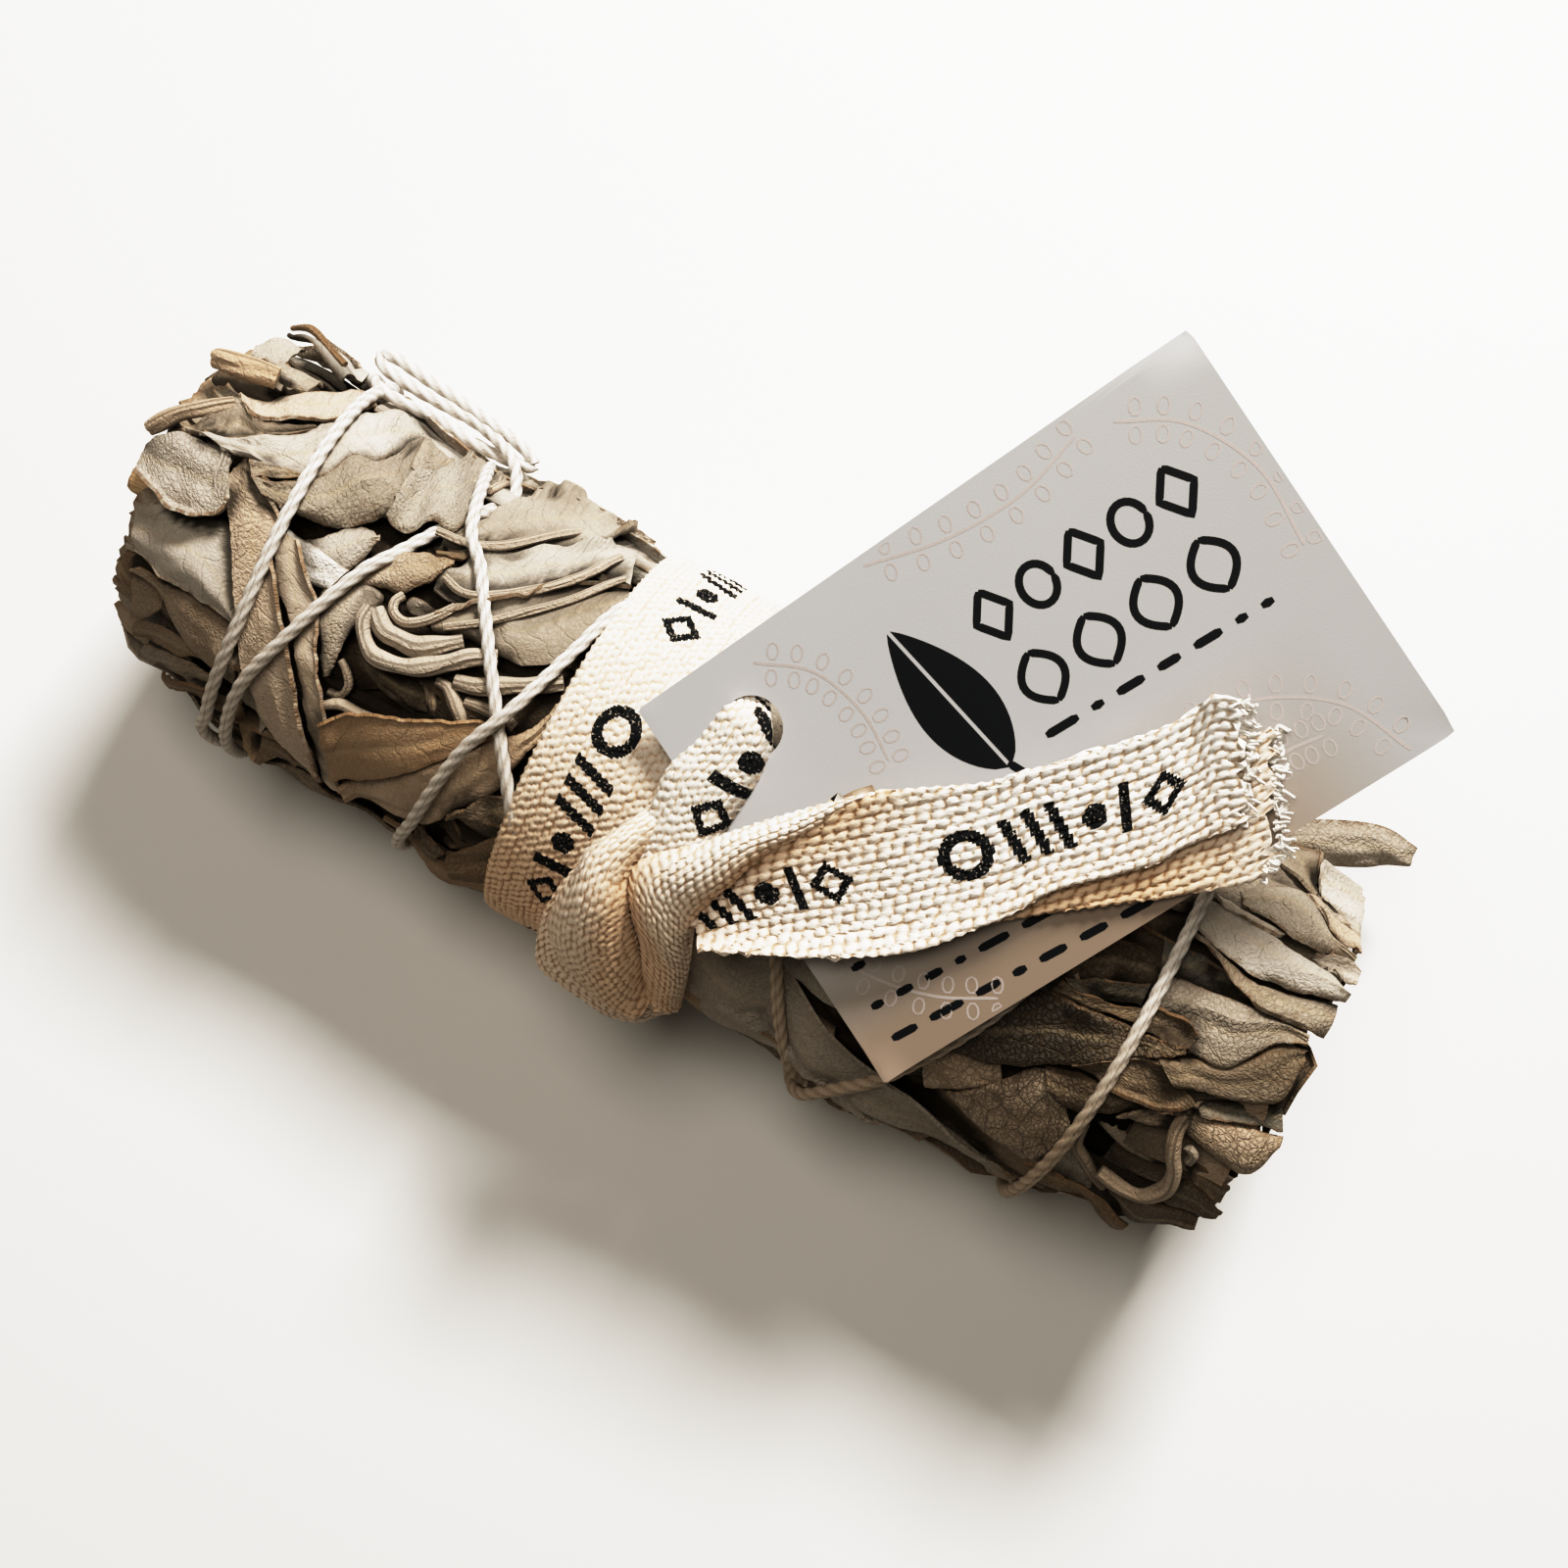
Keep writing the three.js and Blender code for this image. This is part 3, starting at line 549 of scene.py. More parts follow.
def unrolled(rows):
    """Rows of x and angle as x and distance round, both in mm."""
    return np.array(rows, float) * [1, PER_DEGREE]


def outwards(x, around):
    """The way out of the bunch at a place on the map."""
    return on_bunch(x, around / PER_DEGREE, 5.0) - on_bunch(x, around / PER_DEGREE)


def cell(x, around):
    """Row and column of the maps at x and the distance round, both in mm."""
    row = np.clip(np.rint((x - MAP_FROM) / MAP_STEP).astype(int), 0, MAP_ROWS - 1)
    column = np.rint(around / MAP_TURN * MAP_COLUMNS).astype(int) % MAP_COLUMNS
    return row, column


def neighbours(x, around, reach):
    """Each step of up to reach cells both ways, with the cells that it leads to from the places given."""
    row, column = cell(x, around)
    for i in range(-reach, reach + 1):
        for j in range(-reach, reach + 1):
            yield i, j, (np.clip(row + i, 0, MAP_ROWS - 1), (column + j) % MAP_COLUMNS)


def raise_map(x, around, height, reach=1):
    """Raises the height map to a new piece, notes where it is the highest, and returns its number."""
    number = owner.max() + 1
    before = heights.copy()
    for _, _, place in neighbours(x, around, reach):
        np.maximum.at(heights, place, height)
    owner[heights > before] = number
    return number


def blurred(grid):
    """Each point's average with its four neighbours, edges repeated."""
    padded = np.pad(grid, 1, mode="edge")
    sides = padded[:-2, 1:-1] + padded[2:, 1:-1] + padded[1:-1, :-2] + padded[1:-1, 2:]
    return 0.5 * grid + 0.125 * sides


def settled(lift, under, gap, rounds=10):
    """Raises a sheet clear of what is under it, and spreads the rise smoothly, as stiff cloth does."""
    rise = np.zeros_like(lift)
    for _ in range(rounds):
        rise = blurred(np.maximum(rise, under + gap - lift))
    return lift + np.maximum(rise, under + 0.5 * gap - lift)


# %% [markdown]
# The twine is one length of three-ply cotton. It winds to the leafy end and back, so the passes
# cross. Its run is the one in the model: rows of x, total angle and lift. The run is needed
# before the leaves are laid, because they are pressed down along it.
# %% Run of the twine
TWINE_RADIUS = 0.79
TWINE_STEP = 0.5
TWINE_RUN = table(
    "-57.6 -78 0.4, -57.1 -50 0, -54.9 -3 0, -54.4 30 0, -56 66 0, -57.4 92 0, -52 180 0, -44 270 0,"
    "-37.6 324 0, -33 339 0, -27 359 0, -21.9 377 0, -17.2 396 0, -14.2 412 0, -10.2 450 0, -4 540 0,"
    "3 585 0, 6.4 630 0, 11 720 0, 18.7 768 0, 26.2 812 0, 42 900 0, 55.2 982 0, 56.9 1022 0,"
    "56.8 1070 0, 56.7 1103 0, 56.1 1130 0, 54.6 1172 0, 53.6 1260 0, 52.2 1350 0, 46.2 1440 0,"
    "36 1495 0, 27.2 1532 0, 12.5 1620 0, 3 1665 0, -7.5 1710 0, -16.3 1765 0, -18.4 1787 0,"
    "-20.8 1809 0, -24.5 1829 0, -27.4 1860 0, -30.2 1892 0, -33 1980 0, -34.2 2035 -1.8,"
    "-35 2070 -2.8, -36.6 2092 -2.9, -38.6 2118 -2.8, -41.4 2140 -2.4, -42.7 2150 -0.8, -43.9 2156 0,"
    "-45.7 2167 0, -48.5 2185 0, -52 2208 0, -53.8 2235 0, -54.9 2255 0, -60 2340 0, -61.2 2430 0,"
    "-59 2454 0.25, -55 2456 0.5, -50.2 2446 1.4, -45 2443 2.2, -40.9 2443 2.6, -38.2 2443 3.2,"
    "-38.1 2443 4.5, -41 2444 5.9, -45.2 2444 6.4, -49.8 2444 6.1, -54.2 2444 5.1, -57.9 2444 4.8,"
    "-60.2 2444 5, -61.2 2445 3.8, -59.8 2446 2.4, -55.7 2446 2.5, -51.1 2445 3.8, -46.5 2444 5.1,"
    "-42.6 2445 4.4, -39.4 2448 2.4, -37.6 2452 -0.4, -36.6 2457 -2.6")

# The curve takes more time over longer steps, by the square root, so that it doesn't overshoot.
run = TWINE_RUN * [1, PER_DEGREE, 1]
chords = np.concatenate([[0], np.cumsum(np.sqrt(np.linalg.norm(np.diff(run, axis=0), axis=1)))])
knots = np.interp(np.linspace(0, chords[-1], 6000), chords, np.linspace(0, 1, len(run)))
twine_line = spaced(through(run, knots), TWINE_STEP)
print("twine along its run, mm:", round(len(twine_line) * TWINE_STEP))

# %% [markdown]
# Where the twine lies on the leaves, it lowers the ceiling in a narrow trough. The tape lowers it
# under its width, and the ceiling rises again at a slope beside it.
# %% Pressed leaves
PRESSED, PRESS_SPREAD = -0.45, 0.12
PRESS_REACH = 9
TAPE_X, TAPE_WIDTH = -9.5, 15.0
TAPE_SLOPE = 0.35

pressing = twine_line[np.abs(twine_line[:, 2]) < 0.3]
for i, j, place in neighbours(pressing[:, 0], pressing[:, 1], PRESS_REACH):
    away = (i * MAP_STEP) ** 2 + (j * MAP_STEP) ** 2
    np.minimum.at(ceiling, place, PRESSED + PRESS_SPREAD * away)
map_x = MAP_FROM + MAP_STEP * np.arange(MAP_ROWS)
under_tape = np.clip((np.abs(map_x - TAPE_X) - TAPE_WIDTH / 2) * TAPE_SLOPE, 0, 3) + 0.1
ceiling = np.minimum(ceiling, under_tape[:, None])

# %% [markdown]
# One dried sage leaf is given by its two edges on the unrolled surface. Lines across join them,
# and the blade between is lifted by a profile along its length, arched across, and creased where
# it has folds. Drying rolls the edges up or under in a tight arc.
# %% Shape of a leaf
LEAF_THICKNESS = 0.42
FEWEST_POINTS = 9
# Sizes, lengths and counts of the waves that make an edge ragged, in mm.
RAGGED = ((0.10, 3.2, 4), (0.05, 1.1, 3))
PUFF_LONG, SWELL_LONG, CREASE_LONG = 7.0, 11.0, 1.9


def smaller(a, b, blend=0.35):
    """A smooth minimum of two heights."""
    h = np.clip(0.5 + 0.5 * (b - a) / blend, 0, 1)
    return b * (1 - h) + a * h - blend * h * (1 - h)


def rolled(v, half, turn, radius):
    """Bends a strip's border into an arc of turn radians: distance along it, place across, and rise."""
    size = np.abs(turn)
    tight = half <= 1.5 * radius
    start = np.maximum(half - radius * np.sin(np.minimum(size, np.pi / 2)), 0.3 * half)
    flat = np.abs(v) * np.where(tight, half, start + size * radius)
    over = np.where(tight, 0, np.maximum(flat - start, 0) / radius)
    across = np.where(over > 0, start + radius * np.sin(over), flat)
    return np.sign(v) * flat, np.sign(v) * across, np.sign(turn) * radius * (1 - np.cos(over))


def blade(a, b, step, rng):
    """Lines across between edges a and b, closer together near both ends.

    Gives back shares and distances along, the length, middles, ways across, half widths and columns.
    """
    a, b = unrolled(a), unrolled(b)
    length = (distances(a)[-1] + distances(b)[-1]) / 2
    share = np.linspace(0, 1, max(int(length / step), FEWEST_POINTS))
    t = 0.7 * share + 0.15 * (1 - np.cos(np.pi * share))
    near, far = even(a, t), even(b, t)
    sideways = left_of(heading(0.5 * (near + far)))
    sideways *= np.sign(np.sum(sideways * (far - near)) + 1e-9)
    sideways = unit((far - near) + 0.3 * sideways)
    along = (t * length)[:, None]
    half = 0.5 * np.linalg.norm(far - near, axis=1, keepdims=True)
    columns = max(int(2 * half.max() / step) + 1, FEWEST_POINTS)
    ragged = sum(size * waves(along, 0, long, rng, count) for size, long, count in RAGGED)
    return t, along, length, 0.5 * (near + far), sideways, np.maximum(half + ragged, 0.1), columns


def crumpled(flat, along, v, rng):
    """A dried leaf's unevenness: puffs that are pinched between, long swells and fine creases."""
    puffs = np.abs(waves(flat, along * 0.20, PUFF_LONG, rng)) - 0.56
    swells = waves(flat * 0.6, along, SWELL_LONG, rng)
    creases = waves(flat, along * 0.35, CREASE_LONG, rng)
    return 1.5 * puffs * (0.6 + 0.4 * np.abs(v)) + 0.8 * swells + 0.30 * creases


# %% [markdown]
# The leaf is settled over those below it, wrinkled, and pressed under the ceiling. It raises the
# height map, so that the next leaf lies on it. Its points remember where they are on the map,
# for the shading of gaps, and they carry the values that the leaf material reads.
# %% Laying a leaf
LEAST_GAP = 0.10
MIDRIB_DIP, MIDRIB_HALF = 0.16, 0.6
RIM_WIDE = 0.3
TONE_DRIFT, DRIFT_LONG = 0.03, 12


def lay_leaf(shells, a, b, lift=0.0, tilt=0.0, cup=0.0, roll=(-1.1, -1.1), roll_radius=0.8, folds=(),
             wrinkle=0.28, tone=0.5, warm=0.2, veins=0.1, crepe=0.45, seed=0, step=0.55, gap=0.3):
    """Lays a leaf with edges a and b, rows of (x, angle). Lift, tilt, cup and folds' heights are in mm."""
    rng = np.random.default_rng(seed)
    t, along, length, centre, sideways, half, columns = blade(a, b, step, rng)
    v = np.linspace(-1, 1, columns)[None, :]
    turn = np.where(v < 0, profile(roll[0], t), profile(roll[1], t))
    flat, across, rise = rolled(v, half, turn, roll_radius)
    x = centre[:, :1] + sideways[:, :1] * across
    around = centre[:, 1:] + sideways[:, 1:] * across
    under = heights[cell(x, around)]
    height = profile(lift, t) + tilt * v + cup * v**2
    for place, tall, wide in folds:
        height = height + tall * bell(v - place, wide)
    height = settled(height, under, gap)
    height = height + wrinkle * crumpled(flat, along, v, rng) - MIDRIB_DIP * bell(flat, MIDRIB_HALF)
    height = smaller(height, ceiling[cell(x, around)])
    height = np.maximum(height, under + LEAST_GAP)
    height = 0.5 * height + 0.5 * blurred(height) + rise
    top = on_bunch(x, around / PER_DEGREE, height)
    number = raise_map(x, around, height)
    width = np.abs(flat).max(axis=1, keepdims=True)
    inwards = np.minimum(width - np.abs(flat), 2 * RIM_WIDE + np.minimum(along, length - along))
    rim = np.exp(-np.maximum(inwards, 0) / RIM_WIDE)
    tones = tone + TONE_DRIFT * waves(x, around, DRIFT_LONG, rng)
    sheet(shells, top, LEAF_THICKNESS, together(flat, along), outwards(x, around), at_x=x, at_around=around,
          at_lift=height, piece=number, tone=tones, warm=warm, rim=rim, veins=veins, crepe=crepe,
          lot=rng.uniform(0, 50))


# %% [markdown]
# Stalks, and leaves that have dried into a tight roll, are rods with a slit along them where the
# roll closes, and fine ridges.
# %% Laying a roll
SLIT_DEPTH, SLIT_AT, SLIT_HALF = 0.30, 0.9, 0.28


def lay_roll(shells, path, radius, lift=0.0, tone=0.5, warm=0.2, seed=0, step=0.4):
    """Lays a rod of the radius along a path, rows of (x, angle), with its middle at the lift."""
    rng = np.random.default_rng(seed)
    centre = unrolled(path)
    length = distances(centre)[-1]
    t = np.linspace(0, 1, max(int(length / step), 8))
    x, around = even(centre, t).T
    level = profile(lift, t)
    spine = on_bunch(x, around / PER_DEGREE, level[:, 0])
    turn = circle(18)
    along = (t * length)[:, None]
    swell = 1 + 0.10 * waves(along, 0, 7, rng, 4)
    taper = 0.82 + 0.18 * np.sin(np.pi * np.clip(along / length, 0.04, 0.96))
    slit = SLIT_DEPTH * bell(turn - SLIT_AT - 0.2 * waves(along, 0, 12, rng, 3), SLIT_HALF)
    ridges = 0.035 * waves(turn * 2.2, along * 0.3, 2.0, rng)
    reach = radius * swell * taper * (1 - slit + ridges)
    rings = rings_on(spine, unit(outwards(x, around)), turn, reach)
    number = raise_map(x, around, level[:, 0] + 0.7 * radius, 2)
    rod(shells, rings, together(turn * radius + 1.2, along), at_x=x[:, None],
        at_around=around[:, None] + radius * np.sin(turn), at_lift=level + radius * np.cos(turn),
        piece=number, tone=tone, warm=warm, veins=0.0, crepe=0.3, rim=0.45 * slit, lot=rng.uniform(0, 50))


# %% [markdown]
# Light hardly reaches between packed leaves. Each point of a leaf gets a value from 0 to 1 for
# how deep it lies under other leaves close beside it, and the leaf's colour is darkened by it:
# painted shade in the gaps.
# %% Painted shade in the gaps
NOTHING = -99.0
GAP_REACH = 2
GAP_FROM, GAP_FULL = 0.25, 1.6


def shade_gaps(shells):
    """Stores the depth, as a mean over a near and a far reach, in place of the points' map places."""
    places = (shells.values.pop(key) for key in ("at_x", "at_around", "at_lift", "piece"))
    at_x, at_around, at_lift, piece = (np.concatenate(parts) for parts in places)
    best = np.full((GAP_REACH, len(at_x)), NOTHING)
    for i, j, place in neighbours(at_x, at_around, GAP_REACH):
        away = max(int(np.ceil(np.hypot(i, j) - 0.3)), 1)
        if away <= GAP_REACH:
            other = np.where(owner[place] == piece, NOTHING, heights[place])
            best[away - 1:] = np.maximum(best[away - 1:], other)
    shells.values["deep"] = [np.clip((best - at_lift - GAP_FROM) / GAP_FULL, 0, 1).mean(axis=0)]


# %% [markdown]
# The leaf's surface is matt and felted. The midrib is a pale line, side veins leave it at a
# slant, and a fine net lies between them: lines from the UV map, and cracks between cells for the
# net. Each leaf has its own tone, from pale grey green to olive and tan, and dries brown along
# its rim.
# %% Leaf material
FELT_PALE, VEIN_BROWN, NET_BROWN = (0.80, 0.76, 0.70), (0.20, 0.14, 0.08), (0.075, 0.050, 0.030)
DRY_TAN, SAGE_GREY, RIB_STRAW = (0.56, 0.345, 0.180), (0.50, 0.53, 0.49), (0.50, 0.40, 0.27)
FELT_DARK, RIM_BROWN, PAINTED_GAP_SHADE = (0.10, 0.07, 0.04), (0.175, 0.105, 0.055), (0.012, 0.008, 0.005)


def leaf_veins(tree, uv, shifted):
    """Values for the midrib, the side veins, the net of lines and the cushions between its lines."""
    split = tree.add("SeparateXYZ", {0: uv})
    across = tree.math("ABSOLUTE", split.outputs[0])
    wander = tree.times(tree.noise(shifted, 0.35, 2.0), 3.0)
    combed = tree.plus(tree.minus(split.outputs[1], tree.times(across, 0.75)), wander)
    beat = tree.math("ABSOLUTE", tree.math("SINE", tree.times(combed, 0.95)))
    bent = tree.add("VectorMath", {0: shifted, 1: tree.noise(shifted, 0.9, 2.0)}, operation="ADD")
    fine, wide = tree.cracks(bent, 1.45), tree.cracks(bent, 0.34)
    net = tree.math("MAXIMUM", tree.times(tree.grey(fine, 0.10, 0.0), 0.6), tree.grey(wide, 0.055, 0.0))
    net = tree.times(net, tree.attribute("veins"))
    return tree.grey(across, 0.55, 0.1), tree.grey(beat, 0.22, 0.0), net, tree.grey(fine, 0.0, 0.38)


def leaf_material():
    """The colour goes from tone to warmth, felt, veins, rim and the painted shade of the gaps."""
    tree = Tree("dried sage leaf", 0.88, specular=0.2)
    uv = tree.surface()
    place = tree.add("TexCoord").outputs["Object"]
    shifted = tree.add("VectorMath", {0: uv, 1: tree.attribute("lot")}, operation="ADD")
    midrib, side_veins, net, cushions = leaf_veins(tree, uv, shifted)
    crepe = tree.noise(tree.stretched(shifted, (1.25, 0.8, 1.0)), 3.2, 3.5)
    felt = tree.noise(shifted, 7.5, 2.0)
    rough, warmth = tree.attribute("crepe"), tree.attribute("warm")
    mottled = tree.times(tree.minus(tree.noise(place, 95.0, 2.5), 0.5), 0.34)
    creased = tree.times(tree.minus(crepe, 0.5), tree.times(rough, 0.65))
    tone = tree.plus(tree.plus(tree.attribute("tone"), mottled), creased)
    colour = tree.ramp(tone, (0.0, (0.022, 0.015, 0.010)), (0.25, (0.155, 0.120, 0.086)),
                       (0.5, (0.345, 0.302, 0.256)), (0.75, (0.550, 0.508, 0.462)),
                       (1.0, (0.780, 0.745, 0.705)))
    colour = tree.layer(colour, tree.layer(colour, DRY_TAN, 0.55), warmth)
    colour = tree.layer(colour, tree.layer(colour, SAGE_GREY, 0.35), tree.grey(warmth, 0.0, -0.5))
    colour = tree.layer(colour, tree.layer(colour, FELT_PALE, 0.5), cushions, 0.16)
    colour = tree.layer(colour, VEIN_BROWN, side_veins, 0.08)
    colour = tree.layer(colour, NET_BROWN, net, 0.85)
    colour = tree.layer(colour, RIB_STRAW, midrib, 0.22)
    colour = tree.layer(tree.layer(colour, FELT_DARK, 0.16), colour, tree.grey(felt, 0.42, 0.68))
    nibbled = tree.grey(tree.noise(place, 900.0, 2.0), 0.35, 0.55)
    colour = tree.layer(colour, RIM_BROWN, tree.times(tree.attribute("rim"), nibbled), 0.75)
    # Painted shade: the colour goes nearly black deep in the gaps between leaves.
    colour = tree.layer(colour, PAINTED_GAP_SHADE, tree.grey(tree.attribute("deep"), 0.08, 0.95), 0.93)
    relief = tree.plus(tree.times(tree.times(crepe, rough), 1.6), tree.times(felt, 0.30))
    relief = tree.plus(relief, tree.times(tree.times(cushions, rough), 0.6))
    relief = tree.minus(tree.minus(relief, tree.times(side_veins, 0.25)), tree.times(net, 0.7))
    return tree.finish(colour, relief, 0.30)


leaf_finish = leaf_material()

# %% [markdown]
# Deep inside, the imported leaves show only as dark folds. A plain core closes the view; its
# near-black colour is painted shade.
# %% Core
CORE_LIFT = -6.0
CORE_FROM, CORE_TO = -71, 73

inner = Shells()
x = np.linspace(CORE_FROM, CORE_TO, 90)[:, None]
angle = np.linspace(0, 360, 96, endpoint=False)[None, :]
around = angle * PER_DEGREE
lift = CORE_LIFT + 0.5 * waves(x, around, 9, np.random.default_rng(7))
rod(inner, on_bunch(x, angle, lift), together(x, around), at_x=x, at_around=around, at_lift=lift, piece=0,
    tone=0.0, warm=0.0, veins=0.0, crepe=0.5, rim=0.0, lot=0.5)

# %% [markdown]
# Two loose layers of random leaves lie on the core. They are seen through every gap of the outer
# layer, and their very dark tones are painted shade. Leaves are spread round the bunch by the
# golden share of a turn from one to the next.
# %% Inner layers
GOLDEN_SHARE = 0.618034
LEAVES_FROM, LEAVES_TO = -74.5, 75.5


def random_leaf(rng, x, angle, length=(32, 58), half=(4.5, 8.5), lean=20.0):
    """Draws one leaf's two edges: a lance, or a leaf torn off short, lying about along the bunch."""
    size = rng.uniform(*length)
    turn = np.radians(rng.normal(0, lean)) + (np.pi if rng.random() < 0.5 else 0)
    ahead = np.array([np.cos(turn), np.sin(turn)])
    side = left_of(ahead)
    share = np.array([0, 0.15, 0.35, 0.6, 0.82, 1.0])
    blunt = rng.choice([0.45, 0.8, 1.0])
    wide = rng.uniform(*half)
    shape = np.array([blunt, 0.5 + 0.5 * blunt, 1.0, 0.85, 0.5, 0.04]) * wide
    bend = rng.uniform(-0.12, 0.12) * size * (1 - (2 * share - 1) ** 2)
    middle = np.array([x, angle * PER_DEGREE]) + np.outer(size * (share - 0.5), ahead) + np.outer(bend, side)
    edges = []
    for sign in (-1, 1):
        edge = middle + sign * np.outer(shape * rng.uniform(0.85, 1.1, 6), side)
        edge[:, 0] = np.clip(edge[:, 0], LEAVES_FROM, LEAVES_TO)
        edges.append(edge / [1, PER_DEGREE])
    roll = tuple(rng.choice([-2.0, -1.3, -0.8, 1.0, 2.0], 2, p=[0.25, 0.35, 0.2, 0.1, 0.1]))
    return dict(a=edges[0], b=edges[1], roll=roll, tilt=rng.uniform(-0.8, 0.8), cup=rng.uniform(-1.5, 0.3),
                wrinkle=rng.uniform(0.2, 0.5), folds=((rng.uniform(-0.5, 0.5), rng.uniform(-0.5, 0.7), 0.2),),
                seed=int(rng.integers(1 << 30)))


# Depth, number of leaves and tone of each layer; the low tones are painted shade.
INNER_LAYERS = ((-5.0, 60, 0.04), (-3.0, 70, 0.16))
scatter = np.random.default_rng(23)
for depth, count, tone in INNER_LAYERS:
    for k in range(count):
        angle = 360 * ((k * GOLDEN_SHARE) % 1.0)
        x = -66 + 134 * ((k + 0.5) / count) + scatter.uniform(-4, 4)
        drawn = random_leaf(scatter, x, angle)
        lay_leaf(inner, lift=depth + scatter.uniform(-0.4, 0.4), tone=tone + scatter.uniform(-0.08, 0.12),
                 warm=scatter.uniform(0.05, 0.4), step=2.0, roll_radius=1.1, **drawn)

# %% [markdown]
# Round the back, underneath, and below the tag, the outer leaves are drawn at random in the same
# manner. They keep out of the places where the leaves are laid one by one. Underneath, towards
# the front, they are painted darker and warmer: painted shade.
# %% Outer leaves round the back
OUTER_COUNT = 190
HAND_LAID = ((-77, -52, -80, 80), (-52, -13, -50, 80), (47, 80, -38, 80), (30, 60, 35, 80))
outer = Shells()


def hand_laid(x, angle):
    """True in the places, as x and angle from and to, where the leaves in view are placed one by one."""
    return any(low < x <= high and first < angle < last for low, high, first, last in HAND_LAID)


for k in range(OUTER_COUNT):
    angle = 360 * ((k * GOLDEN_SHARE + 0.31) % 1.0) - 100
    x = scatter.uniform(-62, 64)
    drawn = random_leaf(scatter, x, angle)
    inside = [hand_laid(*place) for place in np.vstack([drawn["a"], drawn["b"]])]
    if sum(inside) > 2:
        continue
    # Painted shade: darker and warmer on the low front side.
    low = max(0, np.cos(np.radians(angle - 110)))
    lay_leaf(outer, lift=scatter.uniform(-1.2, 0.3), tone=scatter.uniform(0.4, 0.78) - 0.3 * low,
             warm=scatter.normal(0.05, 0.2) + 0.2 * low, crepe=scatter.uniform(0.2, 0.8), step=1.35, **drawn)

# %% [markdown]
# The outer leaves on the side in view are placed one by one, in each part the lowest first. Each
# has its two edges, as rows of x and angle, then how it lies and how it has dried. A stalk or a
# roll has a path and a radius instead of edges. The seeds count up from one to the next.
# %% Outer leaves in view
shown = Shells()
leaf_seeds, roll_seeds = itertools.count(100), itertools.count(300)


def leaf(a, b, **settings):
    """Lays the next leaf in view between two edges, which are given as text."""
    lay_leaf(shown, table(a), table(b), seed=next(leaf_seeds), **settings)


def roll(path, radius, **settings):
    """Lays the next stalk or roll in view along a path, which is given as text."""
    lay_roll(shown, table(path), radius, seed=next(roll_seeds), **settings)


# %% [markdown]
# Low down at the left end lie short and fairly dark leaves, and one pale one above them. The dark
# tones are partly the leaves' own colour and partly painted shade.
# %% Left end, below
leaf("-70.5 44, -68 42, -65.5 43", "-70 64, -68 59, -66 50", lift=-2.2, tone=0.3, warm=0.25)
leaf("-69.5 64, -65 54, -61.5 50, -58 53", "-70 72, -64.5 60, -61 56, -58 54", lift=-1.6, tone=0.3,
     warm=0.2, cup=-0.5, roll=(0, 1.2))
leaf("-67.5 69, -62.5 59, -59.5 57, -57 57", "-69 84, -62.5 66, -59.5 63, -57 61", lift=-1.2, tone=0.4,
     warm=0.05, cup=-0.4, roll=(0, 1))
leaf("-64.5 74, -60 65, -57 62", "-63.5 79, -59.5 70, -56.5 67", lift=-1, tone=0.05, warm=0.35, cup=-0.3)
leaf("-69.5 39, -66 38, -61.5 33, -56.5 35, -53.5 41", "-71 43, -66 43, -62.5 48, -57 54, -54 57",
     lift=(-1.4, -0.8, -1), tone=0.35, warm=0.25, cup=-0.6)
leaf("-53 47, -51 53, -50 56, -48.5 62", "-54 57, -52.5 61, -51 63, -49.5 69", lift=-1.2, tone=0.45,
     warm=0.05)
leaf("-54 61, -52.5 68, -51 77, -49 82", "-54 66, -53 78, -51.5 83, -50 91", lift=-1.4, tone=0.35,
     warm=0.8)
leaf("-49.5 71, -47 73, -45 81", "-50 83, -47.5 82, -45.5 85", lift=-0.6, tone=0.15, warm=0.2)
leaf("-73 22, -67 12, -61 8, -57 17, -54.5 32", "-70.5 34, -66.5 35, -62.5 32, -59 32, -55 34",
     lift=(-0.9, -0.2, -0.2, -0.8), tone=0.6, warm=-0.05, cup=-0.5,
     folds=((0.35, 0.5, 0.35), (-0.4, -0.6, 0.35)), roll=(0, 0.8), crepe=0.15)

# %% [markdown]
# Between the windings the bunch is open, with two deep leaves, dark with painted shade. Pale ones
# lie beside them, and a tan one runs down across the front.
# %% Opening and twisted leaf
leaf("-42 21, -38.5 22, -35 24, -32.5 26", "-41.5 24, -37 30, -33.5 31, -32 30", lift=-2.4, tone=0.3,
     warm=0.05, cup=-0.4)
leaf("-38.5 21, -35.5 20, -32.5 17", "-37 25, -33.5 28, -30.5 27", lift=-3.2, tone=0.05, warm=0.05)
leaf("-48 2, -47.5 13, -45.5 23, -43.5 33", "-44.5 -1, -41 2, -42.5 15, -43 32", lift=(-0.8, 0.1, -0.6),
     tone=0.55, warm=0.15, cup=-0.5, wrinkle=0.15, crepe=0.4)
leaf("-53.5 1, -51 -4, -47.5 -15, -45 -14", "-52 7, -47.5 4, -46 -3, -45 -14", lift=(-1, -0.3, -0.6),
     tone=0.6, warm=0, cup=-0.4, folds=((0, 0.5, 0.2),))
leaf("-54.5 0, -50 0, -46 0", "-53 9, -49.5 10, -47 8", lift=-0.4, tone=1, warm=-0.05, cup=-0.2,
     crepe=0.5)
leaf("-55.5 1, -52.5 15, -50 20, -47.5 29, -45.5 38, -43.5 51, -42 64, -41 83",
     "-52.5 2, -49.5 9, -47 15, -45.5 23, -44 32, -42.5 40, -41 50, -39.5 68, -37.5 82",
     lift=(-0.6, 0.2, 0.1, 0.1, -0.1, -0.4), tone=0.6, warm=0.35, cup=-0.35, roll=(0, 1.2), crepe=0.12)
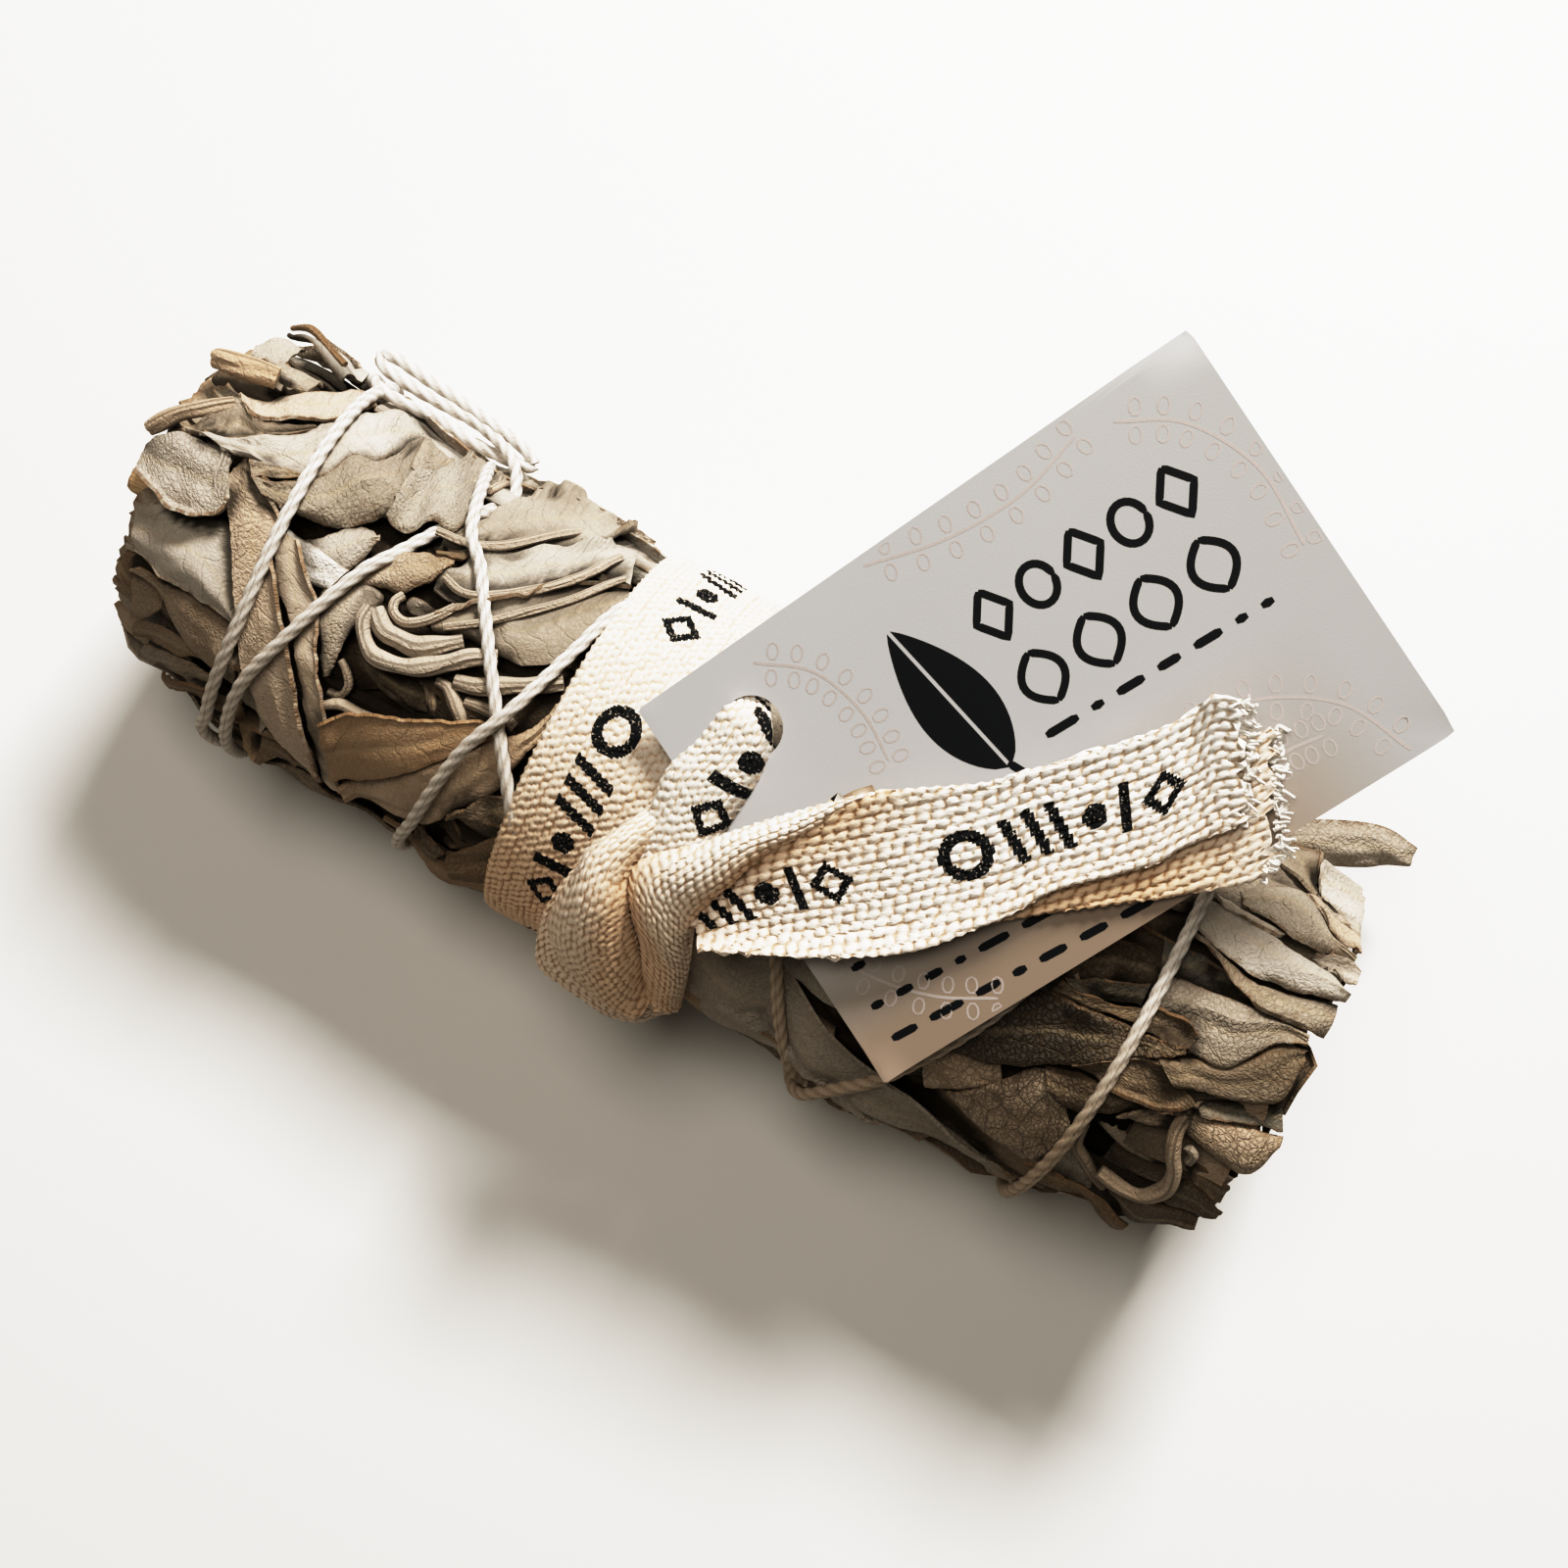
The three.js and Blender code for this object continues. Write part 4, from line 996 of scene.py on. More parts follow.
leaf("-62.5 -10, -63 -2, -62.5 1, -60 8, -58 16, -56.5 23, -54.5 34, -53 43, -50.5 53, -48 64, -45 74,"
     "-42 83",
     "-62 -10, -60 -6, -58 -3, -55.5 0, -54.5 9, -52.5 15, -51 21, -48.5 29, -46.5 38, -44.5 49,"
     "-42.5 61, -41.5 82", lift=(1.2, 0.9, 0.4, 0.2, 0.1, 0, -0.3, -0.4), tone=0.6, warm=0.5, cup=-0.2,
     roll=(0.6, 1.6), folds=((0.1, 0.5, 0.14),), veins=0.1, crepe=0.5)

# %% [markdown]
# Beside the tape, three leaves have deeply rolled borders. Lower down come two brown leaves, and
# small ones in the gaps round them, dark with painted shade.
# %% Folded leaves beside the tape
leaf("-38.5 -31, -38 -46, -36 -56, -35 -77, -30.5 -77, -26 -77, -22.5 -77",
     "-39 -22, -37 -24, -35 -30, -32 -35, -30 -38, -27 -47, -24.5 -60, -22 -78", lift=(-0.6, 0, 0, -0.3),
     tone=0.5, warm=-0.05, cup=-1.8, roll=(0, 2.2), folds=((0.2, 0.6, 0.2),), crepe=0.2)
leaf("-38 -18, -36 -21, -35 -29, -33.5 -33, -31.5 -34, -29 -42, -25.5 -52, -22.5 -63, -20.5 -65",
     "-36.5 -9, -34.5 -8, -32 -10, -30 -14, -27.5 -22, -26 -29, -24 -38, -22 -45, -18 -49",
     lift=(-0.4, 0.2, 0.1, -0.2), tone=0.6, warm=-0.05, cup=-2, roll=(0, 2.2),
     folds=((-0.45, 0.5, 0.18), (0.35, -0.6, 0.2)), crepe=0.25)
leaf("-38.5 -1, -38 -3, -36.5 -4, -34.5 -3", "-38 1, -37 1, -35.5 0, -34.5 -1", lift=-0.8, tone=0.65,
     warm=0.05, cup=-0.3)
leaf("-35 0, -33 -7, -30 -14, -27 -21, -25 -30, -22 -39, -18 -46",
     "-34 3, -30.5 -1, -26.5 -2, -23 -3, -20.5 -8, -18 -18, -15.5 -33", lift=(-0.3, 0.2, 0.1, -0.3),
     tone=0.5, warm=0.05, cup=-1.6, roll=(2.6, 0), wrinkle=0.15, crepe=0.2)
leaf("-45 -3, -44 -10, -42 -14, -40.5 -15, -39 -17, -36 -19",
     "-44 1, -41.5 -1, -39.5 -2, -38 -7, -37 -11, -36 -18", lift=(0, 0.5, 0.4, 0), tone=0.5, warm=0.4,
     cup=-0.5, wrinkle=0.4, crepe=0.6)
leaf("-38.5 -18, -36.5 -22, -35 -29", "-38 -17, -36 -20, -34.5 -27", lift=-0.8, tone=0.1, warm=0.05,
     roll=(0, 1.2))
leaf("-38.5 73, -34.5 60, -31 48, -26.5 36, -23 24, -21 20, -19 15, -18 10, -17.5 4",
     "-37 80, -32 74, -27.5 68, -25 61, -23.5 53, -20 41, -19 32, -18 23, -17 15, -16.5 5",
     lift=(-0.8, -0.3, -0.1, 0, -0.3), tone=0.45, warm=0.6, cup=-0.5,
     folds=((-0.1, 0.3, 0.12), (0.4, -0.4, 0.15)), veins=0.2, crepe=0.15)
leaf("-41.5 47, -39.5 41, -37 36, -33 31, -28.5 25, -24 19, -21.5 17",
     "-39.5 71, -36 63, -32.5 53, -29 43, -25.5 32, -23 24, -21.5 18", lift=(-0.3, 0.3, 0.3, 0, -0.4),
     tone=0.25, warm=0.7, cup=-0.4, roll=(1.2, 0), wrinkle=0.12, veins=0.1, crepe=0.15)
leaf("-24 56, -22 47, -19 46, -15.5 47", "-23.5 58, -21 60, -18 58, -17 53", lift=-1.6, tone=0.25,
     warm=0.2, roll=(1.2, 0))
leaf("-22.5 50, -20.5 41, -17.5 39, -16 39", "-21.5 48, -19 47, -16.5 48, -15.5 45", lift=-1.2, tone=0.05,
     warm=0.05, roll=(0, 1.5))
leaf("-23 72, -18.5 58, -15 47", "-21.5 83, -18 81, -14 74", lift=-0.8, tone=0.05, warm=0.4)
leaf("-27.5 67, -25 72, -23 71", "-28 72, -26.5 77, -24.5 77", lift=-1, tone=0.05, warm=0.05)

# %% [markdown]
# Higher up at the left end the leaves are pale and more crumpled. The last three are small and
# stand out a little.
# %% Left end, above
leaf("-75 9, -74.5 4, -71 -4, -68.5 -5, -65.5 -7, -64 -8",
     "-74.5 12, -70.5 12, -67.5 14, -64 11, -61.5 6, -61.5 3", lift=(0.4, 1, 0.9, 0.5), tone=0.6, warm=0,
     cup=-0.1, roll=(0, 2), wrinkle=0.5, veins=0.3, crepe=0.45)
leaf("-71 -6, -69.5 -13, -68 -22, -65 -20, -62 -25, -59 -32",
     "-70 -6, -66.5 -9, -64 -14, -61.5 -21, -59.5 -27, -58.5 -32", lift=(-0.2, 0.3, 0.2, -0.2), tone=0.55,
     warm=0.15, roll=(1, 1.8), folds=((0.1, -0.5, 0.2),), crepe=0.25, wrinkle=0.12)
leaf("-68 -24, -65 -30, -62.5 -39, -60.5 -49, -59 -62, -58 -67",
     "-67 -22, -64.5 -22, -61 -28, -58.5 -35, -57.5 -44, -57 -58", lift=(0.2, 0.4, 0.2, -0.2), tone=0.7,
     warm=0.4, cup=-0.3, roll=(0, 0.7), crepe=0.35)
leaf("-68.5 -6, -64 -13, -60.5 -23, -58 -35, -56.5 -50, -54.5 -63, -50.5 -64",
     "-63.5 -8, -61.5 -10, -58 -11, -55.5 -16, -54 -22, -53.5 -30, -51 -39, -50 -56",
     lift=(-0.5, 0.2, 0.2, 0, -0.3), tone=0.65, warm=0, cup=-0.6,
     folds=((0.55, 0.35, 0.12), (0.2, -0.4, 0.18)), wrinkle=0.35, crepe=0.3)
leaf("-61.5 -9, -58.5 -12, -55.5 -17", "-60 -5, -58 -10, -55.5 -16", lift=-0.3, tone=0.4, warm=0.05,
     folds=((0, -0.4, 0.2),))
leaf("-60 -5, -57 -11, -54.5 -19, -53.5 -30, -52.5 -33, -50.5 -40, -50 -53, -49.5 -60",
     "-58 -3, -54.5 -5, -49.5 -10, -47.5 -16, -46.5 -19, -45 -25, -45.5 -33, -47 -39",
     lift=(-0.3, 0.6, 0.9, 0.3), tone=0.45, warm=0, cup=-1.6, wrinkle=0.65, veins=0.1, crepe=0.5)
leaf("-49.5 -60, -47.5 -60, -45 -60", "-47 -39, -46 -40, -45 -57", lift=0, tone=0.45, warm=0.05)
leaf("-46.5 -38, -45.5 -46, -45 -58, -44.5 -73, -41.5 -75, -39.5 -67",
     "-45.5 -20, -42.5 -20, -41.5 -27, -39.5 -28, -38.5 -30, -39 -42, -39.5 -49, -39 -62",
     lift=(0.2, 0.7, 0.5, 0.1), tone=0.55, warm=-0.05, cup=-0.5, wrinkle=0.45, crepe=0.55)
leaf("-71 -40, -69.5 -41, -67 -40", "-72 -47, -71.5 -57, -68.5 -63", lift=(0.3, 0.8, 0.5), tone=0.6,
     warm=0.05, wrinkle=0.4)
leaf("-67.5 -38, -65 -37, -62.5 -40", "-67.5 -42, -65 -45, -62 -47", lift=(0.5, 0.9, 0.4), tone=0.5,
     warm=0, wrinkle=0.4)
leaf("-73 -72, -67 -62, -62 -59", "-72 -76, -67 -76, -61.5 -77", lift=(1, 1.3, 0.6), tone=0.7, warm=-0.1,
     roll=(-1.5, 0), crepe=0.3)

# %% [markdown]
# Low down at the right end the leaves are darker, partly by their own colour and partly by a painted
# shadow of the tag, and about half of them show a net of veins.
# %% Right end, below
leaf("46.5 5, 49.5 -4, 54 -8, 56.5 -6", "47 9, 50.5 5, 54 2, 56.5 -1", lift=-2.5, tone=0.1, warm=0.05)
leaf("47 9, 51.5 5, 56 0", "49 11, 52.5 9, 56 6", lift=-2, tone=0.05, warm=-0.2, roll=(0, 1))
leaf("37 44, 39.5 43, 43 40, 45.5 37", "40 61, 42 57, 45 49, 47 43", lift=(-0.8, -0.3, -0.6), tone=0.5,
     warm=0.6, cup=-0.3, veins=0.6)
leaf("55.5 59, 56.5 49, 59.5 58, 61.5 62", "55.5 66, 59 67, 62 66", lift=-1.2, tone=0.55, warm=0,
     veins=0.4)
leaf("42.5 56, 45.5 46, 48 38, 50 33, 52 36, 54.5 40", "42.5 57, 46 62, 50 65, 54 64, 55.5 56, 56 44",
     lift=(-0.6, -0.2, -0.1, -0.3), tone=0.45, warm=0.4, cup=-0.3, wrinkle=0.15, veins=0.9)
leaf("50 32, 54.5 29, 57 28, 61 26, 63 26", "52 37, 54 39, 57 38, 59 35, 61 31, 63 26",
     lift=(-0.8, -0.2, -0.1, -0.3), tone=0.05, warm=0.1, cup=-0.3, veins=0.6)
leaf("52.5 28, 54.5 24, 58 19, 60.5 17, 63 19", "56.5 27, 60 27, 63 26, 64.5 24, 65.5 21",
     lift=(-0.4, 0.1, 0.4, 0.9), tone=0.2, warm=0.15, cup=0.1, roll=(1.2, 1.8), wrinkle=0.4, veins=0.4)
leaf("59.5 35, 61.5 30, 65.5 25, 68.5 26, 72.5 26, 77 25", "63 36, 65.5 35, 67.5 34, 71 37, 76 40, 77 29",
     lift=(-1.6, -0.8, 0.2, 0.2, 0), tone=0.5, warm=0.5, cup=-1, veins=0.7)
leaf("66 22, 70 20, 75 16", "67.5 25, 71.5 25, 76.5 23", lift=-2.2, tone=0.05, warm=-0.2)
leaf("68 54, 69.5 48, 74 53, 76 57", "68 56, 72 62, 76 63", lift=-0.8, tone=0.1, warm=0.05)
leaf("62.5 59, 66.5 58, 71 62, 74.5 66", "65.5 66, 70 81, 73 80, 75 72", lift=-0.8, tone=0.05, warm=0.1,
     folds=((0, 0.4, 0.2),))
leaf("68.5 40, 72 44, 75 47", "69.5 44, 72.5 49, 75 52", lift=-1.6, tone=0.15, warm=0.05, roll=(1.2, 0))
leaf("60.5 42, 64 45, 67 45", "58 43, 62.5 49, 65.5 50, 67.5 48", lift=-2.4, tone=0.4, warm=0.05,
     cup=-0.6)
leaf("54 65, 58.5 65, 63 67, 68 76", "54.5 68, 59 69, 63 73, 69 92", lift=-0.3, tone=0.15, warm=0.45,
     roll=(0.8, 0), veins=0.5)
leaf("60 16, 63.5 13, 67 11, 69 7, 71 2, 72.5 0, 74 0",
     "63 20, 66 19, 69 19, 71.5 18, 74 16, 74.5 11, 74.5 2", lift=(-0.6, -0.3, -0.2, 0.2, 0.2), tone=0.3,
     warm=0.05, cup=0.1, folds=((-0.4, 0.4, 0.3),), veins=0.25)

# %% [markdown]
# Higher up, three leaves are dark with painted shade. The ones above them are paler, and most are
# narrow.
# %% Right end, above
leaf("55 -13, 60 -15, 64 -11, 66.5 -7", "56.5 -3, 60 -4, 64 -5, 66.5 -6", lift=-3.5, tone=0.05, warm=-0.2)
leaf("57 -4, 62.5 -5, 66.5 -6, 70.5 -6, 73.5 -4", "59 17, 62.5 12, 67 12, 69 6, 71 1, 74 -2",
     lift=(-0.4, 0.2, 0.3, 0), tone=0.45, warm=0, cup=-0.5, folds=((-0.35, 0.7, 0.2),), veins=0.35)
leaf("47 10, 50 10, 54 9, 57 6, 60 5, 63 7", "46.5 15, 50.5 13, 54 11, 57 11, 60.5 12, 62.5 11",
     lift=(-0.6, 0, 0.3, 0.5), tone=0.05, warm=0.05, roll=(1.2, 0), wrinkle=0.35)
leaf("34.5 44, 37.5 34, 41.5 22, 46 14, 50.5 13, 54.5 12, 58.5 12, 62 11",
     "35 46, 39.5 43, 44 39, 48 34, 52 28, 56 22, 59.5 16, 62.5 12", lift=(-0.4, 0.3, 0.4, 0.3, 0.1),
     tone=0.05, warm=0, cup=-0.3, wrinkle=0.12, veins=0.9)
leaf("56.5 -18, 59.5 -17, 62.5 -13, 65 -12, 68 -13, 71.5 -14, 75.5 -17",
     "57 -17, 60 -14, 63.5 -9, 66.5 -6, 69 -5, 72 -5, 75.5 -6", lift=(-1, -0.2, 0.1, 0), tone=0.45,
     warm=0.05, cup=-0.6, wrinkle=0.4, veins=0.35)
leaf("56.5 -26, 58 -29, 62 -28, 66 -27, 69.5 -25, 73 -24, 76 -21",
     "57 -20, 59.5 -16, 62 -14, 65 -13, 68 -14, 71.5 -14, 76 -18", lift=(-0.3, 0.6, 0.8, 0.5), tone=0.7,
     warm=-0.05, cup=-1.2, folds=((0.05, 0.5, 0.18),))
leaf("58 -31, 61.5 -30, 67 -29", "59.5 -26, 62 -26, 66 -27", lift=-0.5, tone=0.7, warm=0.05)
leaf("60.5 -35, 62.5 -41, 65.5 -44, 68 -43, 70 -40, 72 -35, 75.5 -33",
     "61.5 -31, 64.5 -31, 67 -29, 69 -29, 72 -30, 75 -30", lift=(-0.4, 0.5, 0.6, 0.4), tone=0.5,
     warm=-0.1, cup=-1, folds=((0, 0.5, 0.2),))
leaf("67 -42, 68.5 -44, 70.5 -43, 72 -42, 75 -42", "70.5 -39, 71.5 -36, 73.5 -36, 75.5 -36",
     lift=(-0.6, 0, 0), tone=0.65, warm=0.45, cup=-0.4)
leaf("70.5 -27, 73.5 -30, 76.5 -30", "73.5 -26, 74.5 -24, 76.5 -25", lift=0.1, tone=0.75, warm=0.2,
     wrinkle=0.8)
leaf("63.5 -54, 64.5 -63, 67 -64, 68 -57", "63 -50, 65.5 -48, 67.5 -46, 70 -46", lift=-0.3, tone=0.4,
     warm=0.05, roll=(1.6, 0), wrinkle=0.5)
leaf("68 -60, 71.5 -69, 75 -76", "69.5 -49, 72.5 -47, 75 -48", lift=(-0.4, 0.1, 0), tone=0.7, warm=0.05,
     cup=-0.6, folds=((-0.1, 0.4, 0.14),))

# %% [markdown]
# Stalks and tight rolls lie among the leaves, most of them in the opening and beside the tape,
# and the rest at the two ends.
# %% Stalks and rolls
roll("-75.5 1, -73 -8, -70.5 -14, -68 -21", 1.05, lift=(0.5, 0.5, 0.4, 0.2), tone=0.6, warm=0.55)
roll("-41 6, -39 10, -37 10, -34.5 9, -32.5 5, -30.5 0", 1.25, lift=(-0.2, -0.3, -0.5, -1), tone=0.65,
     warm=0.25)
roll("-41.5 6, -41.5 11, -40 16, -38 18, -34 15, -30.5 8, -28.5 3, -26 -1", 1.05,
     lift=(0, 0.2, 0.2, 0, -0.6), tone=0.65, warm=0.3)
roll("-39 -2, -39.5 1, -39 4, -37.5 5, -36 3, -34.5 -1, -33 -7", 0.62, lift=(-0.4, -0.1, 0, 0.1, 0.3),
     tone=0.65, warm=0.35)
roll("-42.5 26, -41.5 28, -40.5 32, -41 37, -42.5 38", 0.55, lift=-1.6, tone=0.55, warm=0.3)
roll("-40 -25, -36 -27, -32 -35, -28.5 -54, -26.5 -77", 0.55, lift=(0.1, 0.5, 0.6, 0.5), tone=0.6,
     warm=0.25)
roll("-36 -13, -33 -12, -29.5 -17, -25 -29, -22.5 -42, -21.5 -59", 0.6, lift=(0.1, 0.5, 0.6, 0.4),
     tone=0.6, warm=0.3)
roll("-33 0, -29.5 -7, -26 -16, -22 -29, -19 -46", 0.5, lift=(0.2, 0.5, 0.5, 0.4), tone=0.6, warm=0.3)
roll("-33.5 17, -32 18, -31 21, -30 26", 0.75, lift=-2.2, tone=0.4, warm=0.4)
roll("-31 15, -29.5 15, -27.5 19, -26 23", 0.85, lift=(-1.2, -1, -1.2), tone=0.6, warm=0.35)
roll("-29 12, -26.5 10, -24 6, -21 2, -18 -3", 1.1, lift=(-0.9, -0.7, -1), tone=0.6, warm=0.25)
roll("-27 16, -25 15, -22 15, -20.5 16", 0.75, lift=-1.2, tone=0.6, warm=0.3)
roll("66 27, 66 32, 67 38, 68 42, 68.5 48, 67.5 53, 66 56, 64 57, 61.5 56", 0.95,
     lift=(-0.6, 0.2, 0.4, 0.4, 0.2, -0.4, -1), tone=0.4, warm=0.3)
roll("57 42, 57.5 50, 59.5 55, 61.5 60, 63 63", 0.8, lift=-1.4, tone=0.3, warm=0.2)
roll("68 35, 69 37, 69 40", 0.75, lift=-0.6, tone=0.6, warm=0.3)
roll("-65 -8, -64.5 -5, -64 0, -63 3", 0.85, lift=(0.8, 0.6, 0.1), tone=0.65, warm=0.1)
roll("-44.5 -77, -41.5 -77, -39.5 -77, -39 -60, -39 -54", 0.5, lift=0.2, tone=0.7, warm=0.5)
roll("-42.5 43, -40.5 39, -38 38, -35 36", 0.7, lift=-0.9, tone=0.6, warm=0.4)
roll("-73.5 -77, -67.5 -66, -63 -63", 0.5, lift=(1.6, 2, 1.2), tone=0.1, warm=0.5)
roll("-73 -29, -69.5 -30, -65.5 -34", 1.45, lift=(1.9, 2, 1.7), tone=0.6, warm=0.85)

# %% [markdown]
# Both ends of the bunch were cut across, so they show the edges of many leaves, folded round each
# other. Each is a short curved strip at its own radius, and its outer end is ragged.
# %% Cut ends
CUT_COUNT = 150
CUT_THICK = 0.36
CUT_HALF_WIDTHS = (2.5, 6.0)
CUT_BACK_AT_RIM = 1.6
# Each end's direction, the x where its strips start and end, and its radius.
CUT_ENDS = ((-1, -62.0, -74.8, 21.0), (1, 62.0, 75.0, 22.5))
ends = Shells()
cut_rng = np.random.default_rng(41)


def cut_leaf(k, direction, start, last, widest):
    """The k-th strip of an end that runs from x start to about x last and is widest mm in radius."""
    share = np.sqrt((k + 0.5) / CUT_COUNT)
    radius = 1.5 + (widest - 2.5) * share
    middle = 360 * ((k * GOLDEN_SHARE) % 1.0)
    half = min(np.degrees(cut_rng.uniform(*CUT_HALF_WIDTHS) / radius), 80)
    s = np.linspace(0, 1, 7)[:, None]
    v = np.linspace(-1, 1, 10)[None, :]
    angle = np.radians(middle + half * v + cut_rng.uniform(-6, 6) * s)
    curl = cut_rng.uniform(-1.4, 1.4) * v**2 + cut_rng.uniform(-0.8, 0.8) * v
    curl = curl + 0.25 * waves(5 * s, 3 * v, 3, cut_rng)
    flare = cut_rng.uniform(-0.6, 0.9) * s**2
    tip = last + direction * (cut_rng.normal(0, 0.8) - CUT_BACK_AT_RIM * share**4)
    tip = tip + 0.35 * waves(v * radius * 0.1 * half, 0, 1.6, cut_rng)
    x = start + (tip - start) * s
    reach = np.minimum(radius + curl + flare, eased(x, RADIUS) - 0.4)
    z = np.maximum(AXIS_HEIGHT + reach * np.cos(angle), 0.9)
    points = together(x, eased(x, SHIFT_BACK) - reach * np.sin(angle), z)
    away = together(0, -np.sin(angle), np.cos(angle))
    flat = together(radius * (angle - angle.mean()), 12.0 * s)
    # Painted shade: each strip is darker deeper into the end.
    sheet(ends, points, CUT_THICK, flat, away, tone=cut_rng.uniform(0.22, 0.62),
          warm=cut_rng.uniform(0, 0.5), rim=0.9 * np.exp(-(1 - s) / 0.06), veins=0.1, crepe=0.4,
          lot=cut_rng.uniform(0, 50), deep=np.clip(0.75 - 0.75 * s, 0, 1))


for end in CUT_ENDS:
    for k in range(CUT_COUNT):
        cut_leaf(k, *end)

# %% [markdown]
# One loose leaf hangs out at the leafy end. It lies along its own curve in space, cupped, and
# rolled up on one side.
# %% Loose leaf
LOOSE_THICK = 0.35
LOOSE_SPINE = table("55 22.5 18, 62 26.4 17.4, 68 29.6 16.6, 73.2 32 15.6, 78 34.2 14.6, 82.3 35.4 13")
LOOSE_WIDTHS = (0.6, 1.2, 2.0, 2.7, 3.0, 2.7, 1.3)
LOOSE_UP = np.array([0.10, -0.25, 0.96])


def loose_leaf():
    """A sheet whose middle line is a curve in space, with its width, cup and roll across."""
    t = np.linspace(0, 1, 46)
    s = t[:, None]
    v = np.linspace(-1, 1, 15)[None, :]
    spine = even(LOOSE_SPINE, t)
    ahead = heading(spine)
    out = unit(LOOSE_UP - ahead * (ahead @ LOOSE_UP)[:, None])
    side = np.cross(ahead, out)
    wide = through(LOOSE_WIDTHS, t)
    rise = -0.55 * v**2 * wide + 1.5 * np.clip(-v - 0.55, 0, 1) ** 1.5
    rise = rise + 0.22 * waves(v * wide * 2, s * 12, 3.2, np.random.default_rng(77))
    rise = rise + 0.9 * np.sin(np.pi * s) ** 2
    top = spine[:, None] + side[:, None] * (v * wide)[..., None] + out[:, None] * rise[..., None]
    rim = np.exp(-(1 - np.abs(v)) * wide / 0.4)
    sheet(ends, top, LOOSE_THICK, together(v * wide, 30 * s), out[:, None], tone=0.60, warm=0.15, rim=rim,
          veins=0.3, crepe=0.5, lot=3.0, deep=0.0)


loose_leaf()

# %% [markdown]
# The four meshes of leaves. The inner one stands for the model's leaves.
# %% Leaves finished
for shells in (inner, outer, shown):
    shade_gaps(shells)
build(ends, "cut_ends", leaf_finish, "sage_leaf")
build(inner, "inner_leaves", leaf_finish, "sage_leaf", "sage_leaves")
build(outer, "outer_leaves", leaf_finish, "sage_leaf")
build(shown, "shown_leaves", leaf_finish, "sage_leaf")

# %% [markdown]
# The twine is laid over the leaves. Its section has three lobes that turn along it, one for each
# ply. Where a pass crosses an earlier one, at the total angles given, it rides over it.
# %% Twine
TWINE_REST = 0.66
TWINE_HUMP, HUMP_SPREAD = 1.6, 15.0
TWINE_SMOOTHING = 6
SHADE_FROM, SHADE_OVER, LEFT_SHADE = 100, 55, 0.4
TWINE_OVER = (1325, 1533, 1665, 1814, 2279)
PLIES, PLY_PITCH = 3, 7.2


def twisted(shells, line, out, radius, shade):
    """A rod of plies that turn along the line."""
    along = distances(line)[:, None]
    turn = circle(7 * PLIES)
    lobe = np.abs(np.cos(0.5 * PLIES * (turn - 2 * np.pi * along / PLY_PITCH))) ** 0.8
    reach = radius * (0.74 + 0.29 * lobe)
    rings = rings_on(line, out, turn, reach)
    rod(shells, rings, together(turn * radius, along), shade=shade, groove=1 - lobe)


twine_x, twine_around = twine_line[:, 0], twine_line[:, 1]
twine_angle = twine_around / PER_DEGREE
hump = np.max([bell(twine_angle - over, HUMP_SPREAD) for over in TWINE_OVER], axis=0)
twine_lift = smoothed(TWINE_REST + 0.75 * twine_line[:, 2] + TWINE_HUMP * hump, TWINE_SMOOTHING)
twine_path = on_bunch(twine_x, twine_angle, twine_lift)
twine_path[:, 2] = np.maximum(twine_path[:, 2], TWINE_RADIUS + 0.15)
# Painted shade: its share on the twine's low front side, weaker at the left end.
from_front = np.abs((twine_angle - 90 + 180) % 360 - 180)
painted_twine_shade = np.clip((SHADE_FROM - from_front) / SHADE_OVER, 0, 1) * np.where(twine_x > 0, 1.0, LEFT_SHADE)
twine = Shells()
twisted(twine, twine_path, unit(outwards(twine_x, twine_around)), TWINE_RADIUS, painted_twine_shade[:, None])

# %% [markdown]
# Twine is off-white, with fine fibres along the plies and painted shade in the grooves between
# them. Its low front side is painted dimmer and warmer: painted shade.
# %% Twine material
COTTON, COTTON_LIT, PAINTED_GROOVE_SHADE = (0.69, 0.665, 0.635), (0.80, 0.77, 0.72), (0.30, 0.245, 0.20)
COTTON_SHADE = (0.62, 0.52, 0.42)


def twine_material():
    """Pale cotton, with painted shade between the plies and on the low front side."""
    tree = Tree("cotton twine", 0.9, specular=0.2)
    fibre = tree.noise(tree.stretched(tree.surface(), (7.0, 1.2, 1.0), turned=0.7), 1.0)
    # Painted shade in the grooves between the plies.
    colour = tree.layer(COTTON, PAINTED_GROOVE_SHADE, tree.attribute("groove"))
    colour = tree.layer(colour, COTTON_LIT, tree.grey(fibre, 0.45, 0.75), 0.6)
    # Painted shade on the low front side.
    shaded = tree.layer(colour, COTTON_SHADE, 1.0, blend="MULTIPLY")
    return tree.finish(tree.layer(colour, shaded, tree.attribute("shade")), fibre, 0.12, 0.9)


build(twine, "cotton_twine", twine_material(), "cotton_twine", "twine")

# %% [markdown]
# The tape is a chunky woven cotton one. Each stitch is a slanted oval bump, a little different
# from the next, and every row of stitches is shifted by half a stitch. Black marks are printed
# along its middle, over and over.
# %% Weave and marks
STITCH_LONG, STITCH_WIDE, STITCH_TALL = 1.15, 0.80, 0.34
REPEAT = 37.0
LINE_HALF = 0.62


